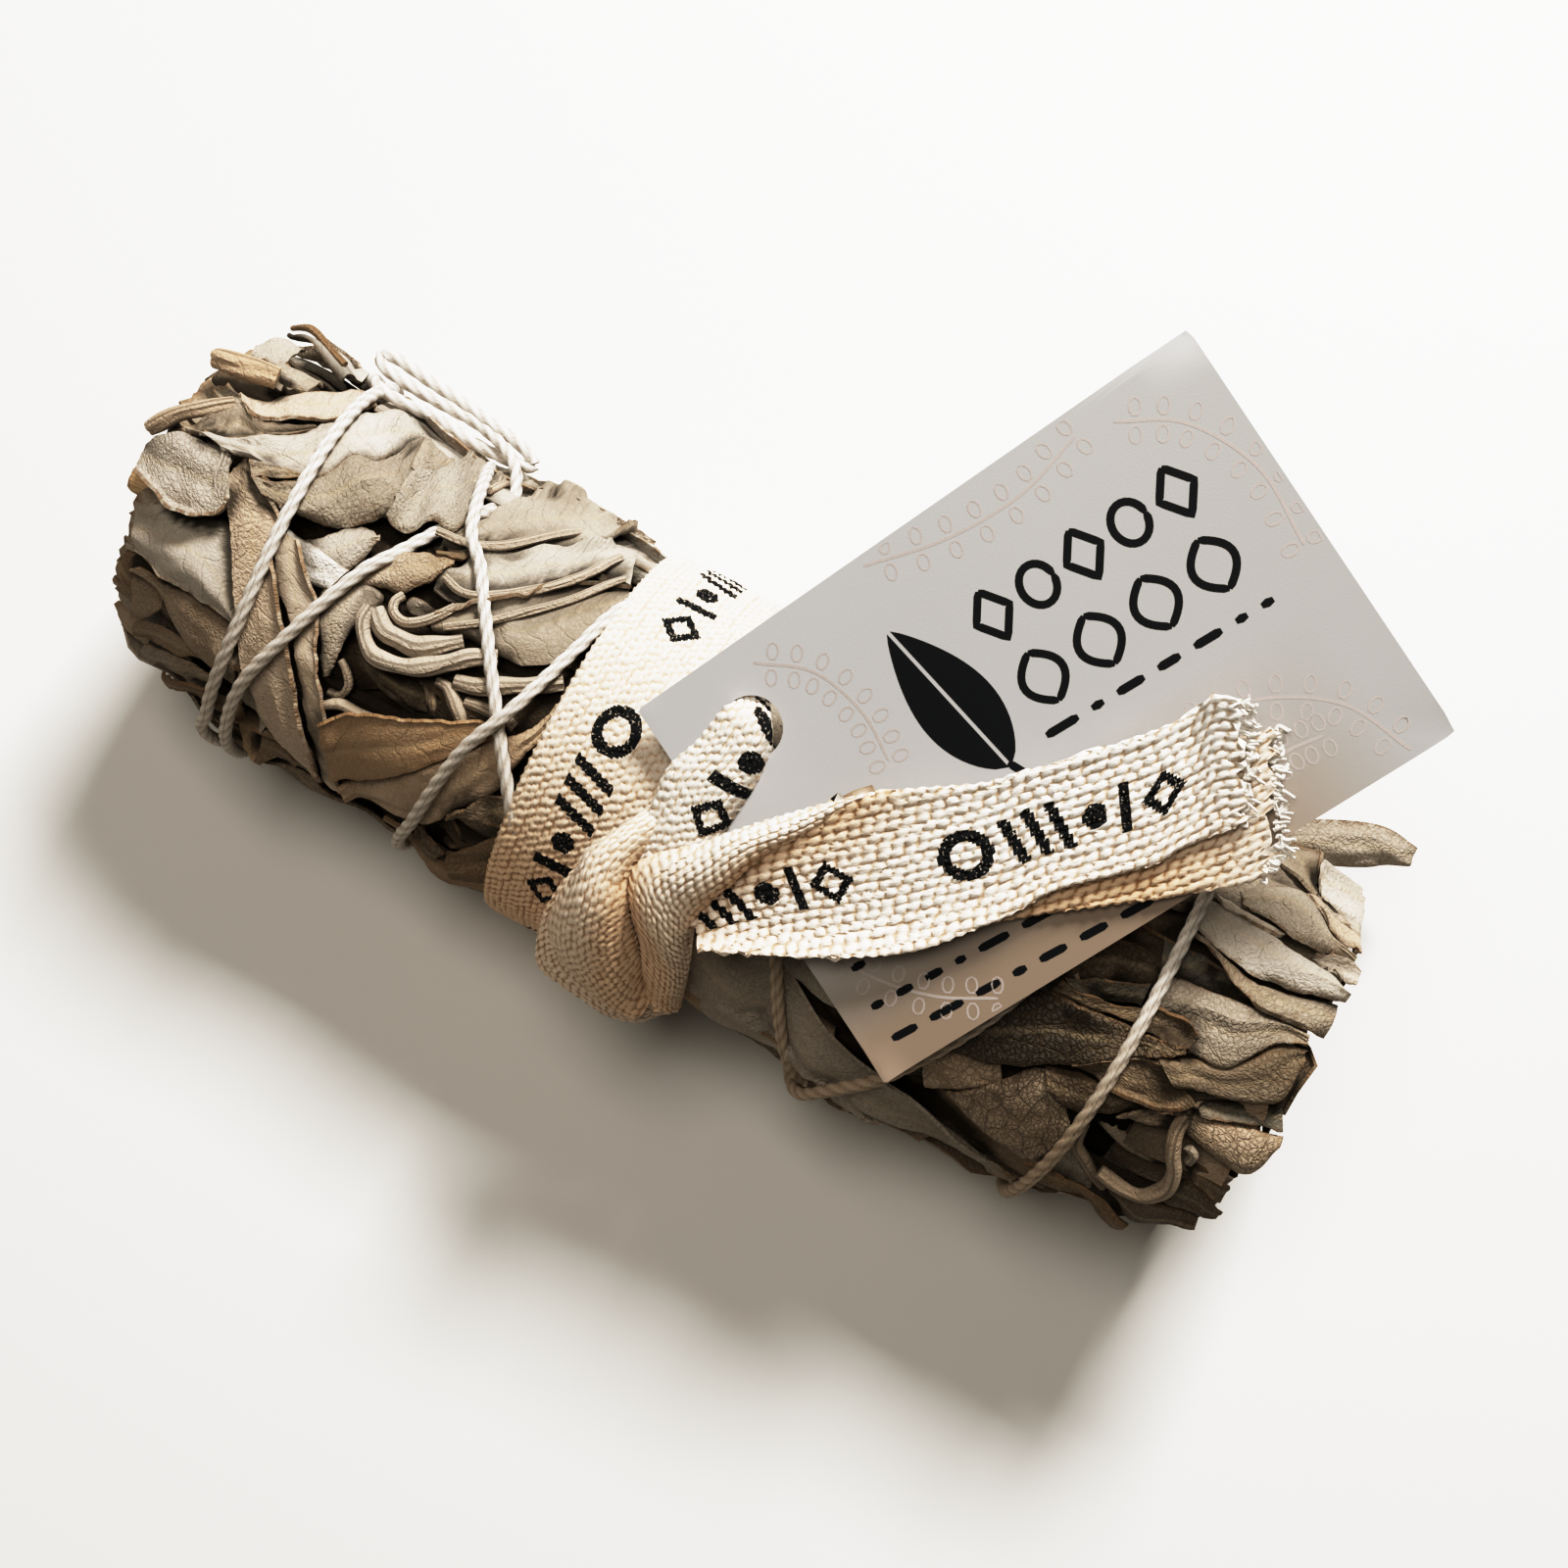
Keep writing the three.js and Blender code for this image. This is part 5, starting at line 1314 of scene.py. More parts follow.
def weave(along, across, size):
    """Height of the weave, from 0 between stitches to about 1 on them."""
    across = across / (STITCH_WIDE * size)
    along = along / (STITCH_LONG * size)
    row = np.floor(across)
    beside = across - row - 0.5
    along = along + 0.5 * np.mod(row, 2) + 0.12 * np.sin(2.1 * row) + 0.10 * np.sin(0.8 * along + row)
    number = np.floor(along)
    ahead = along - number - 0.5
    chance = np.mod(np.sin(row * 12.99 + number * 78.23) * 43758.5, 1.0)
    other = np.mod(chance * 91.7, 1.0)
    beside = beside + 0.18 * (chance - 0.5)
    ahead = ahead + 0.14 * (other - 0.5) + 0.35 * beside
    oval = 1 - np.abs(1.85 * beside) ** 2.6 - np.abs(2.15 * ahead) ** 2.2
    return (0.75 + 0.35 * chance) * np.sqrt(np.maximum(oval, 0))


def printed_marks(along, across):
    """1 on the ink: a ring, three slanted bars, a dot, a bar and a diamond."""
    p = np.mod(along, REPEAT)
    ring = np.abs(np.hypot((p - 4.2) / 1.1, across) - 2.15) < LINE_HALF
    slanted = sum(np.abs(p - bar - 0.35 * across) < LINE_HALF for bar in (9.6, 12.2, 14.8))
    dot = np.hypot(p - 18.6, across) < 1.35
    bar = (np.abs(p - 22.0) < LINE_HALF) * (np.abs(across) < 2.6)
    diamond = np.abs(np.abs(p - 26.2) + np.abs(across) - 1.9) < LINE_HALF
    return np.clip(ring + slanted * (np.abs(across) < 2.7) + dot + bar + diamond, 0, 1)


# %% [markdown]
# The relief is real: a strip has a few points for each stitch, raised by the weave. A strip is
# given by its two edges in space, with how far its middle stands up between them, and how far each
# border turns up or down. Its points also carry how low they lie in the weave, which sets painted
# shade in the hollows, and two more shares of painted shade: a warm tan, and a duller cream.
# %% Tape strips
SAMPLES = 4
TAPE_THICK = 0.75
BORDER_FROM, BORDER_DROP = 0.93, 0.3
SCALLOP = 0.10
RAGGED_LENGTH = 3


def lay_tape(shells, a, b, crown, facing, lips=(0, 0), start=0.0, marks=1.0, shift=0.0, thick=TAPE_THICK,
             tan=0.0, edge_tan=(0.0, 0.0), size=1.0, ragged=0.0, worn=0.0):
    """Lays a strip with edges a and b, rows of (x, y, z) in mm, and returns its length.

    Crown and lips are profiles along it, and so are the two amounts of painted shade, over all and
    at each border. Size is that of its stitches.
    """
    length = distances((a[: len(b)] + b[: len(a)]) / 2)[-1]
    rows = 1 + SAMPLES * max(int(length / (STITCH_LONG * size)), 3)
    t = np.linspace(0, 1, rows)
    near, far = even(a, t), even(b, t)
    wide = np.linalg.norm(far - near, axis=1)
    columns = 1 + SAMPLES * max(int(np.ceil(wide.max() * 1.05 / (STITCH_WIDE * size))), 2)
    v = np.linspace(-1, 1, columns)[None, :]
    centre, across = 0.5 * (near + far), unit(far - near)
    ahead = heading(centre)
    normal = unit(np.cross(ahead, across))
    outward = facing(centre) if callable(facing) else np.asarray(facing, float)
    normal = normal * np.sign(np.sum(normal * outward))
    bulge = profile(crown, t) * (1 - v**2)
    for side, lip in zip((-1, 1), lips):
        bulge = bulge + profile(lip, t) * np.clip((side * v - 0.5) / 0.5, 0, 1) ** 2
    along = start + distances(centre)[:, None]
    scalloped = SCALLOP * np.sin(2 * np.pi * along / (STITCH_LONG * size)) * np.abs(v) ** 6
    half = 0.5 * wide[:, None] + scalloped
    flat = v * half * (1 + 0.12 * np.minimum(np.abs(profile(crown, t)) / half, 1))
    raised = weave(along, flat + TAPE_WIDTH / 2, size)
    edge = np.clip((np.abs(v) - BORDER_FROM) / (1 - BORDER_FROM), 0, 1)
    bulge = bulge + STITCH_TALL * size * raised - BORDER_DROP * edge**2
    near_end = np.clip(1 - length * (1 - t[:, None]) / RAGGED_LENGTH, 0, 1) ** 2
    frayed = ragged * near_end * np.sin(2.3 * flat + 2 * np.sin(1.1 * flat))
    top = centre[:, None] + across[:, None] * (v * half)[..., None] + normal[:, None] * bulge[..., None]
    top = top + ahead[:, None] * frayed[..., None]
    ink = marks * printed_marks(along, flat - shift)
    # Painted shade: a warm tan share, over all and growing towards each border.
    shade_share = profile(tan, t)
    for side, edge_shade_share in zip((-1, 1), edge_tan):
        shade_share = shade_share + profile(edge_shade_share, t) * ((1 + side * v) / 2) ** 3
    # low is how deep a point lies in the weave: the share of painted shade in the hollows.
    sheet(shells, top, thick, together(flat, along), normal[:, None], coarse=SAMPLES, ink=ink,
          tan=np.clip(shade_share, 0, 1), low=1 - raised, worn=worn)
    return length


# %% [markdown]
# The first wrap is a band right round the bunch. It lies on the leaves, rises over the twine that
# passes under it, and slants a little underneath.
# %% Band of tape
BAND_LIFT = 0.95
BAND_RISE, RISE_SPREAD = 1.1, 3.0
BAND_SLANT = 1.4
BAND_LOWEST = 0.62
BAND_SMOOTHING = 30
DRAWN_IN = 0.25
PASSING_WITHIN = 13

band_angle = np.linspace(-170, 190, 420)
band_x = TAPE_X - BAND_SLANT * np.maximum(0, -np.cos(np.radians(band_angle)))
passing = np.abs(twine_x - TAPE_X) < PASSING_WITHIN
gaps = (band_angle[:, None] - twine_angle[passing][None, :] + 180) % 360 - 180
nearest = np.hypot(gaps * PER_DEGREE, 0.6 * (twine_x[passing] - TAPE_X)[None, :]).min(axis=1)
band_lift = smoothed(BAND_LIFT + BAND_RISE * bell(nearest, RISE_SPREAD), BAND_SMOOTHING)


def band_edge(side):
    """One edge of the band, drawn in a little towards its middle."""
    edge = on_bunch(band_x + side * TAPE_WIDTH / 2, band_angle, band_lift)
    middle = on_bunch(band_x, band_angle, band_lift)
    edge[:, 1:] = (1 - DRAWN_IN) * edge[:, 1:] + DRAWN_IN * middle[:, 1:]
    edge[:, 2] = np.maximum(edge[:, 2], BAND_LOWEST)
    return edge[::8]


band = Shells()
# Painted shade: tan on the band's low front side, and the whole band duller.
band_length = lay_tape(band, band_edge(-1), band_edge(1), 0.25, lambda p: p - [TAPE_X, 0, AXIS_HEIGHT],
                       start=5.0, worn=1.0, tan=(0.4, 0.1, 0.0, 0.0, 0.25, 0.95, 0.95, 0.8, 0.6))

# %% [markdown]
# The tag leans on the bunch and lies in one plane: a corner, and its two ways along and across.
# The tails of the tape lie on it, so they are given in the same plane.
# %% Tag plane
TAG_CORNER = np.array([-8.0, -1.05, 51.9])
TAG_ALONG = unit(np.array([0.4756, 0.8088, 0.3455]))
TAG_ACROSS = np.array([0.8782, -0.4594, -0.1335])
TAG_ACROSS = unit(TAG_ACROSS - TAG_ALONG * (TAG_ACROSS @ TAG_ALONG))
TAG_UP = np.cross(TAG_ACROSS, TAG_ALONG)


def on_tag(along, across, lift=0.0):
    """The point of the tag's upper face at along and across from its corner, raised by lift."""
    parts = zip((along, across, lift), (TAG_ALONG, TAG_ACROSS, TAG_UP))
    return TAG_CORNER + sum(np.asarray(size, float)[..., None] * way for size, way in parts)


# %% [markdown]
# The second wrap comes up through the tag's hole with its right border turned under, and goes
# into the knot. The knot is the tape wrapped over itself: a turn below, and a broad lobe over it
# on the left. On the right the root of the tail stands up from a deep crease. All are strips with
# a left and a right edge in space.
# %% Knot
STRAND = (table("-3.5 9.5 46, -0.6 6.6 50.5, 1.2 4.4 54.3, 0.7 3 55.9, -0.2 -1.2 54.6, -1.7 -5.2 53.6,"
                "-1.6 -9 52, -1.2 -12 50.6, -0.6 -16 48.4"),
          table("4 9 47, 5.2 6.6 51, 6.6 4.4 54.6, 7.3 3.2 55.6, 7.7 -0.3 54.8, 7.6 -3.6 53.9,"
                "7.2 -7 52.6, 6.6 -11 51.2, 4.6 -15.5 48.8"))
TURN = (table("-4.9 -16 47.5, -6.4 -19.5 46.5, -7.4 -23.4 43.5, -7.6 -26.8 39.5, -6.6 -30.1 34,"
              "-4.1 -30.8 31, -0.5 -31.2 28.5, 2.8 -31.4 26, 6.1 -30.2 24.5, 8.5 -27.7 25.5, 9.9 -25 29"),
        table("-2.2 -16 46.5, -3.6 -19.1 46, -3.9 -21.8 43.3, -3.5 -24.1 40, -2 -25.8 36,"
              "0.3 -26.8 32.5, 2.4 -27.2 30, 4.4 -27.2 28.4, 5.7 -26.8 28, 7 -25.6 29.5, 8 -23.8 32"))
LOBE = (table("-1.9 -8.2 48.2, -2.9 -11.4 49.9, -4.5 -14.6 50.3, -5.9 -17.3 49.8, -6 -20.4 48.3,"
              "-6.5 -23.1 46, -6.6 -25.9 43, -5.6 -27.6 40, -2.6 -28.8 36.5, 0.8 -29.3 33, 4.4 -29 31"),
        table("2.4 -9.2 48.4, 1 -12 50.2, 0 -15.1 50.5, 0 -17.8 50, 0.9 -20 49, 2 -21.9 46.5,"
              "3.5 -23.5 43, 4.8 -25.3 39, 5.8 -27.1 35, 7.1 -27.6 32"))
ROOT = (table("6.4 -28 32, 6 -27 34, 5.2 -25.2 39, 4.1 -23.3 43, 2.6 -21.7 46.5, 1.3 -19.9 49,"
              "0.4 -18.2 50.3, 0.3 -16.4 51.2, 1.7 -14.4 52, 5.1 -11.3 53, 7.9 -8.2 54, 13 -3.4 55.7,"
              "17.2 0.3 57.3, 19.6 2.3 58"),
        table("10.2 -26 27, 10 -24.7 30, 9.8 -23.1 34, 9.3 -20.9 38.5, 8.8 -19.3 42.5, 8.8 -17.6 46,"
              "9.6 -15.2 49.5, 10.6 -13.2 51.5, 11.2 -11.4 52.9, 12 -9.6 53.6, 13 -7.9 54,"
              "15.6 -4.5 55.2, 18 0 57.2, 20 2.2 57.9"))
KNOT_OUT, ROOT_OUT = (0.1, -0.62, 0.78), (0.3, -0.5, 0.8)

tie = Shells()
# Painted shade: tan on the turn, down the lobe, at the foot of the root and along the crease.
tie_length = lay_tape(tie, *STRAND, 0.9, TAG_UP, (0, -2.2), start=3.0, shift=2.4, worn=0.7)
tie_length += lay_tape(tie, *TURN, 1.2, KNOT_OUT, (0.3, 0), marks=0, thick=1.0, tan=0.6, edge_tan=(0.2, 0.2))
tie_length += lay_tape(tie, *LOBE, (1.2, 2.6, 3.0, 2.8, 2.2), KNOT_OUT, (-0.6, -0.8), marks=0, thick=1.2,
                       tan=(0.1, 0.25, 0.4, 0.65, 0.8), edge_tan=(0.2, (0.2, 0.7, 1.3, 1.4, 1.2)), worn=0.7)
tie_length += lay_tape(tie, *ROOT, (1.4, 2.2, 2.3, 2.0, 1.7, 1.5, 0.9, 0.2), ROOT_OUT, (-0.5, -0.5), marks=0,
                       thick=1.1, tan=(0.8, 0.6, 0.3, 0.1, 0.0, 0.0), worn=0.5,
                       edge_tan=((1.3, 1.3, 0.8, 0.1, 0.0, 0.0), (0.2, 0.3, 0.6, 1.3, 1.3, 1.3)))

# %% [markdown]
# Both tails lie on the tag, the unprinted one under the printed one, painted tan for the shade it
# lies in. Their edges are rows of along, across and lift in the tag's plane. Their stitches look
# larger, as the tape is pulled loose there.
# %% Tails
TAIL_SIZE = 1.28
UNDER_TAIL = (table("-7 19 0.6, 0 22 1.5, 10 27 1.8, 20 31 1.6, 30 34.5 1.4, 40 36.8 1.3, 50 38 1.4,"
                    "56.5 38.8 1.5"),
              table("-6 25 -0.6, 0 31 0.3, 10 36.8 0.8, 19 40.2 0.9, 26.9 43.4 1, 36.4 47.7 1.1,"
                    "40.8 49.5 1.1, 44.4 51 1.2, 47.2 51.7 1.2"))
UPPER_TAIL = (table("-9 18 1.2, -4.6 17.4 2.2, 0 17.6 3, 7.7 18.9 3.4, 18.6 22.3 3.2, 27.8 27.2 2.4,"
                    "32.1 28.5 2.4, 36.1 29.9 2.5, 41.4 31.3 2.5, 46.4 32.5 2.6, 50.6 33.1 2.8,"
                    "53.4 32.6 4, 55.2 34.2 4.5"),
              table("-8.4 25.5 0.6, -4.2 28.6 1.6, 3.9 34.1 2.6, 11.4 38.3 2.4, 17.5 39.8 2.2,"
                    "23.2 40.8 2.2, 28.5 41.2 2.2, 34.6 43.2 2.2, 38.7 44.4 2.3, 41.4 44.4 2.4,"
                    "43.9 44.8 2.4, 46 45.2 2.4, 48.4 45.8 2.4"))

under_edges = [on_tag(*edge.T) for edge in UNDER_TAIL]
upper_edges = [on_tag(*edge.T) for edge in UPPER_TAIL]
# Painted shade: the under tail is tan all along, and the upper tail tan by its lower left edge.
tie_length += lay_tape(tie, *under_edges, 0.1, TAG_UP, (0, 0.2), start=30.0, marks=0.0, size=TAIL_SIZE,
                       tan=(1.0, 1.0, 1.0, 1.0, 0.95, 0.25), ragged=0.5, worn=0.8)
tie_length += lay_tape(tie, *upper_edges, (-0.9, -0.8, -0.3, 0.0, 0.15, 0.1), TAG_UP,
                       (0.4, (1.7, 1.5, 0.9, 0.4, 0.2)), start=8.0, size=TAIL_SIZE, ragged=0.5,
                       tan=(0.3, 0.1, 0.0, 0.0, 0.0, 0.0, 0.0),
                       edge_tan=((1.6, 2.2, 1.5, 0.3, 0.0, 0.0, 0.0), 0.3))

# %% [markdown]
# The cut ends of the tails have come undone: a short fringe of cotton threads, each a thin
# tapering rod with its own bend. They stand on a line along each cut end, in the tag's plane.
# %% Frayed ends
FRAYED = ((table("55.2 34.8 4.2, 54.6 37 2.8, 51.5 41.7 2.5, 48.4 45.6 2.3"), 64),
          (table("56.5 39.2 1.4, 53.6 43.8 1.3, 50.8 49.3 1.2, 49.3 50.3 1.1, 47.2 51.5 1.1"), 60))
THREAD_RINGS, THREAD_SIDES = 9, 5
fray = np.random.default_rng(5)


def loose_thread(x, y, lift):
    """One thread that starts near x and y on the tag."""
    x, y = x + fray.uniform(-0.9, 0.1), y + fray.uniform(-0.35, 0.35)
    reach = fray.uniform(0.5, 1.5)
    s = np.linspace(0, 1, THREAD_RINGS)
    lean, lifted, curl = fray.uniform(-0.9, 0.9), fray.uniform(-0.5, 0.7), fray.uniform(-0.5, 0.5)
    along, across = x + reach * s, y + 0.3 * reach * s + lean * s**2 + curl * np.sin(4 * s)
    thread = on_tag(along, across, lift - 0.15 + lifted * s**2 + 0.3 * curl * np.sin(5 * s))
    turn = circle(THREAD_SIDES)
    width = fray.uniform(0.18, 0.32) * (1 - 0.35 * s)[:, None]
    rings = rings_on(thread, TAG_UP, turn, width)
    rod(tie, rings, together(turn, s[:, None] * reach), ink=0.0, tan=0.0, low=0.2, worn=0.0)


for cut_end, count in FRAYED:
    for spot in even(cut_end, np.linspace(0, 1, count)):
        loose_thread(*spot)

# %% [markdown]
# The tape's cotton is unbleached cream. Painted shade makes it brown in the hollows between the
# stitches, tan where the tape lies in shade, and duller on the band, the knot and the under tail.
# The ink skips some spots.
# %% Tape material
CREAM, CREAM_LIT, PAINTED_DULL_CREAM = (0.78, 0.735, 0.68), (0.92, 0.895, 0.86), (0.47, 0.42, 0.36)
PAINTED_TAPE_SHADE, TAPE_PATCH = (0.62, 0.39, 0.21), (0.66, 0.55, 0.43)
PAINTED_HOLLOW_SHADE, PAINTED_WARM_HOLLOW_SHADE = (0.51, 0.38, 0.27), (0.29, 0.15, 0.065)
BLACK = (0.003, 0.004, 0.006)


def tape_material():
    """Pale cotton with the weave's painted shade, tan and duller painted shade, and the printed marks."""
    tree = Tree("woven cotton tape", 0.92, specular=0.2)
    uv = tree.surface()
    fibre = tree.noise(tree.stretched(uv, (5.0, 1.6, 1.0)), 1.0, 4.0)
    patchy = tree.noise(uv, 0.22, 2.0)
    tan = tree.attribute("tan")
    colour = tree.layer(CREAM, CREAM_LIT, tree.grey(fibre, 0.25, 0.75))
    # Painted shade: the band, the knot and the under tail are duller than the upper tail.
    colour = tree.layer(colour, PAINTED_DULL_CREAM, tree.attribute("worn"), 0.5)
    # Painted shade: warm tan where the tape lies in shade.
    colour = tree.layer(colour, PAINTED_TAPE_SHADE, tan, 0.7)
    # Painted shade in the weave's hollows, warmer where the tan shade is.
    hollow_shade = tree.layer(PAINTED_HOLLOW_SHADE, PAINTED_WARM_HOLLOW_SHADE, tan)
    colour = tree.layer(colour, hollow_shade, tree.grey(tree.attribute("low"), 0.42, 1.0), 0.92)
    colour = tree.layer(colour, TAPE_PATCH, tree.grey(patchy, 0.3, 0.8), 0.2)
    taken = tree.grey(tree.noise(uv, 3.2), 0.26, 0.40)
    inked = tree.times(tree.grey(tree.attribute("ink"), 0.35, 0.6), taken)
    return tree.finish(tree.layer(colour, BLACK, inked), fibre, 0.14, 0.8)


tape_finish = tape_material()
tape_band = build(band, "tape_band", tape_finish, "woven_tape", "cotton_tape")
tape_tie = build(tie, "tape_knot_and_tails", tape_finish, "woven_tape")
print(f"tape: band {band_length:.0f} mm, knot and tails {tie_length:.0f} mm")

# %% [markdown]
# The tag is stiff card with its corners a little bruised, bent very slightly along its length.
# Its rings run from the hole to the outline over the top, and back below.
# %% Card tag
TAG_SIZE = np.array([71.3, 49.4])
TAG_THICK = 0.6
HOLE_AT, HOLE_RADIUS = np.array([9.8, 8.7]), 3.5
CORNER_CUT = 0.25
CORNERS = ((1, 0, -0.9), (1, 1, -0.35), (0, 1, 0.55), (0, 0, 0.1))


def card_height(flat):
    """How far the card's upper face stands off its flat plane, at rows of along and across."""
    u, v = np.moveaxis(flat / TAG_SIZE, -1, 0)
    bruise = sum(tall * bell(u - a, 0.03) * bell(v - b, 0.045) for a, b, tall in CORNERS)
    return 0.35 * np.sin(np.pi * u) - 0.2 * np.sin(np.pi * v) + bruise - 0.1


def on_card(flat, lift=0.0):
    """Points of the card's upper face, raised by lift, at rows of along and across."""
    return on_tag(flat[..., 0], flat[..., 1], card_height(flat) + lift)


around = circle(360)[0]
way = together(np.cos(around), np.sin(around))
ahead = (TAG_SIZE - HOLE_AT) / np.maximum(way, 1e-9)
behind = HOLE_AT / np.maximum(-way, 1e-9)
reach = np.where(way > 0, ahead, behind).min(axis=1)
for a, b, _ in CORNERS:
    aim = np.array([a, b]) * TAG_SIZE - HOLE_AT
    nearest = np.argmin(np.abs(np.angle(np.exp(1j * (around - np.arctan2(aim[1], aim[0]))))))
    way[nearest], reach[nearest] = unit(aim), np.linalg.norm(aim) - CORNER_CUT
share = np.concatenate([np.linspace(0, 0.985, 24) ** 1.2, [0.993, 1.0]])
flat = HOLE_AT + way[:, None] * (HOLE_RADIUS + (reach[:, None] - HOLE_RADIUS) * share)[..., None]
faces = [on_card(flat), on_card(flat, -TAG_THICK)[:, ::-1]]
card = Shells()
hoop(card, np.concatenate(faces, axis=1), np.concatenate([flat, flat[:, ::-1]], axis=1))

# %% [markdown]
# The card is uncoated grey stock with faint specks. A painted fall-off of light makes it a little
# darker along its length, and a painted shadow of the tail makes it warm brown on the low edge
# beside the bunch.
# %% Card material
PAPER, PAPER_LIT, PAPER_SPECK = (0.425, 0.425, 0.436), (0.460, 0.460, 0.470), (0.50, 0.46, 0.46)
PAINTED_FALLOFF, PAINTED_TAIL_SHADOW = (0.33, 0.325, 0.325), (0.245, 0.180, 0.130)


def card_material():
    """Grey card with a faint mottle and specks, a painted fall-off of light and a painted shadow."""
    tree = Tree("printed card", 0.42, specular=0.35)
    uv = tree.surface()
    speck = tree.noise(uv, 4.0, 4.0)
    along, across = tree.add("SeparateXYZ", {0: uv}).outputs[:2]
    colour = tree.layer(PAPER, PAPER_LIT, tree.noise(uv, 0.07))
    colour = tree.layer(colour, PAPER_SPECK, tree.grey(speck, 0.6, 0.8), 0.12)
    # Painted shade: light falling off along the card.
    colour = tree.layer(colour, PAINTED_FALLOFF, tree.grey(along, 5.0, 75.0), 0.8)
    # Painted shadow of the tail on the low edge.
    tail_shadow_share = tree.times(tree.grey(across, 30.0, 45.0), tree.grey(along, 66.0, 48.0))
    colour = tree.layer(colour, PAINTED_TAIL_SHADOW, tail_shadow_share, 0.85)
    return tree.finish(colour, speck, 0.02, 0.5)


build(card, "card_tag_shell", card_material(), "printed_card", "card_tag")

# %% [markdown]
# The print is a plain pattern. Each mark is a thin film of ink that follows the card, between a
# left and a right line: rows of along and across.
# %% Ink films
INK_LIFT, INK_THICK = 0.02, 0.04
black, taupe = Shells(), Shells()


def film(shells, left, right, columns=2):
    """Ink between two lines on the card."""
    share = np.linspace(0, 1, columns)[None, :, None]
    flat = left[:, None] * (1 - share) + right[:, None] * share
    sheet(shells, on_card(flat, INK_LIFT), INK_THICK, flat, TAG_UP)


def stroke(shells, line, width):
    """A line of ink of one width, with ends a little narrower."""
    line = spaced(np.asarray(line, float), 0.5)
    half = np.full((len(line), 1), 0.5 * width)
    half[[0, -1]] *= 0.6
    side = left_of(heading(line)) * half
    film(shells, line - side, line + side)


# %% [markdown]
# A bold leaf with its stalk stands beside two rows of outlined shapes: diamonds and rounds by
# turns, and pods of two bowed lines.
# %% Bold leaf and shapes
LEAF_BASE, LEAF_TIP, LEAF_HALF = np.array([31.2, 27.6]), np.array([28.2, 8.6]), 4.1
DIAMOND = np.array([(0, -2.9), (2.1, 0), (0, 2.9), (-2.1, 0), (0, -2.9)])
LINE_WIDTH = 0.85
ring = np.linspace(0, 2 * np.pi, 25)
ROUND = together(1.9 * np.cos(ring), 2.3 * np.sin(ring))
bow = np.linspace(-1, 1, 15)

s = np.linspace(0, 1, 26)[:, None]
swell = LEAF_HALF * np.sin(np.pi * s**0.8) ** 0.85 + 0.02
ahead = unit(LEAF_TIP - LEAF_BASE)
for side in (-1, 1):
    across = side * left_of(ahead)
    middle = LEAF_BASE + (LEAF_TIP - LEAF_BASE) * s + across * 0.22
    film(black, middle, middle + across * swell, columns=6)
stroke(black, [(31.2, 27.2), (32.6, 30.2)], 0.9)
for k in range(5):
    stroke(black, np.array([38.6 + 5.7 * k, 13.2]) + (ROUND if k % 2 else DIAMOND), LINE_WIDTH)
for k in range(4):
    for side in (-1, 1):
        pod = together(side * 2.4 * (1 - bow**2), 3.0 * bow)
        stroke(black, np.array([39.4 + 7.0 * k, 21.6]) + pod, LINE_WIDTH)

# %% [markdown]
# Rows of dashes of random lengths stand below, each with its first and last place along, its
# slope, its place across and its line's width.
# %% Dashes
DASHES = ((36.2, 63.0, 0.035, 27.0, 0.95), (4.0, 38.0, 0.04, 36.9, 0.9),
          (3.5, 38.0, 0.06, 41.6, 0.9), (3.5, 38.0, 0.06, 45.7, 0.9))
DASH_GAP = 1.7
marks = np.random.default_rng(31)
for first, last, slope, start, width in DASHES:
    along = first
    while along < last:
        size = marks.uniform(1.2, 4.2)
        ends_at = np.array([along, along + size])
        stroke(black, together(ends_at, start + slope * (ends_at - first)), width)
        along += size + DASH_GAP

# %% [markdown]
# Pale sprigs lie behind: a curved stalk with pairs of small oval leaves, outlined.
# %% Sprigs
SPRIGS = ("66.5 48.5, 63.5 41, 57 36, 50 34.5", "30 1.2, 39 3.8, 48 4.4, 56 2.6",
          "60 3.6, 66 8, 69.5 16, 69 25", "14 3, 19 7.5, 21 14, 20.5 20",
          "45.5 48.6, 49.5 44.5, 55 42, 60 42.5", "2 30, 5 38, 10 44, 16 48")
STALK_WIDTH, OUTLINE_WIDTH = 0.34, 0.22
for sprig in SPRIGS:
    line = through(table(sprig), np.linspace(0, 1, 40))
    stroke(taupe, line, STALK_WIDTH)
    ahead = heading(line)
    for k in range(3, 40, 5):
        for side in (-1, 1):
            across = side * left_of(ahead[k])
            centre = line[k] + 1.45 * across + 0.5 * ahead[k]
            oval = centre + 0.95 * np.cos(ring)[:, None] * across + 0.62 * np.sin(ring)[:, None] * ahead[k]
            stroke(taupe, np.clip(oval, 0.5, TAG_SIZE - 0.5), OUTLINE_WIDTH)

# %% [markdown]
# Both inks are matt, with a slight mottle.
# %% Ink materials
TAUPE = (0.36, 0.325, 0.315)


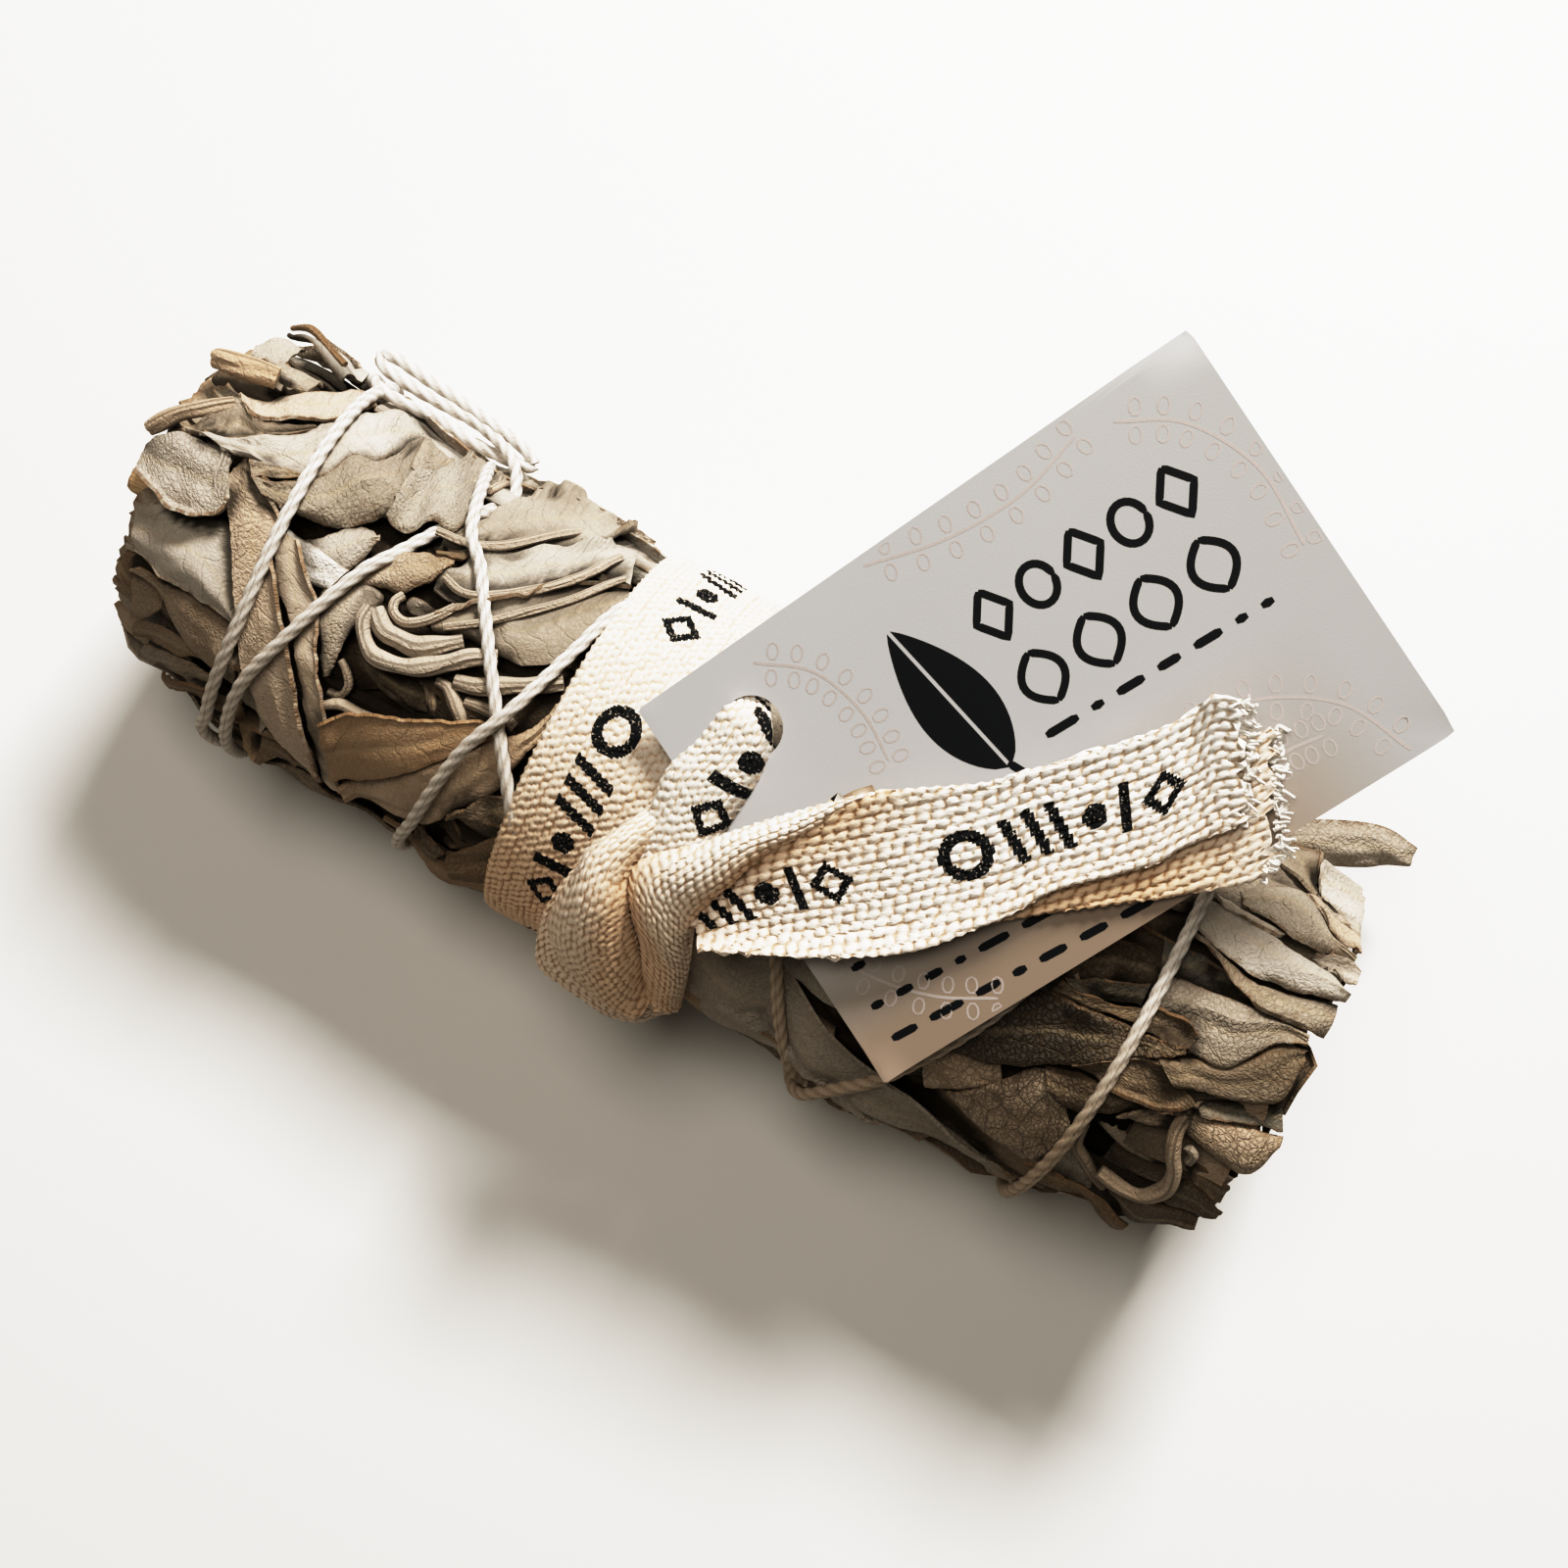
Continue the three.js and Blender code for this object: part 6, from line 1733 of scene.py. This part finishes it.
def ink(name, colour):
    """A matt ink that is a quarter lighter in spots."""
    tree = Tree(name, 0.6, specular=0.12)
    lighter = tuple(1.25 * part + 0.002 for part in colour)
    return tree.finish(tree.layer(colour, lighter, tree.noise(tree.surface(), 2.5)))


build(black, "tag_bold_print", ink("black ink", BLACK), "printed_card")
build(taupe, "tag_pale_print", ink("taupe ink", TAUPE), "printed_card")

# %% [markdown]
# The cut stems stand in the model's holes at the butt end. Each is a ridged rod along x, with
# its shift back, its height over the axis, its radius and the x of its cut face, which is dark.
# %% Stems
STEMS = ((-4.2, 16.6, 1.9, -75.6), (5.5, 3.5, 2.2, -75.2), (-6.5, -1.5, 1.7, -74.4),
         (0.5, -9.5, 2.0, -76.0), (10.5, -5.5, 1.5, -74.8))
STEM_TO, STEM_MIDDLE = -50, -71.0
BARK_DARK, BARK_PALE, CUT_BROWN = (0.36, 0.22, 0.11), (0.66, 0.50, 0.31), (0.16, 0.09, 0.05)
stems = Shells()


def stem(back, tall, radius, cut_x, rng):
    """One stem, slightly smaller at the very cut."""
    x = np.linspace(cut_x, STEM_TO, 60)
    spine = together(x, back + eased(STEM_MIDDLE, SHIFT_BACK), AXIS_HEIGHT + tall)
    turn = circle(28)
    along = x[:, None] - cut_x
    ridges = 1 + 0.05 * waves(turn * 3, along * 0.15, 1.3, rng) + 0.03 * waves(along, 0, 6, rng)
    reach = radius * ridges * np.where(along < 0.12, 0.93, 1)
    rings = rings_on(spine, (0.0, 0.0, 1.0), turn, reach)
    rod(stems, rings, together(turn * radius, along), cut=np.exp(-along / 0.25))


def bark_material():
    """Brown bark in streaks, and a darker cut face."""
    tree = Tree("sage stem", 0.8)
    streak = tree.noise(tree.stretched(tree.surface(), (4.0, 0.35, 1.0)), 1.0, 4.0)
    colour = tree.layer(BARK_DARK, BARK_PALE, tree.grey(streak, 0.3, 0.75))
    colour = tree.layer(colour, CUT_BROWN, tree.attribute("cut"), 0.8)
    return tree.finish(colour, streak, 0.3, 0.8)


for k, measures in enumerate(STEMS):
    stem(*measures, np.random.default_rng(60 + k))
build(stems, "sage_stems", bark_material(), "sage_stem",
      "stem_1", "stem_2", "stem_3", "stem_4", "stem_5")
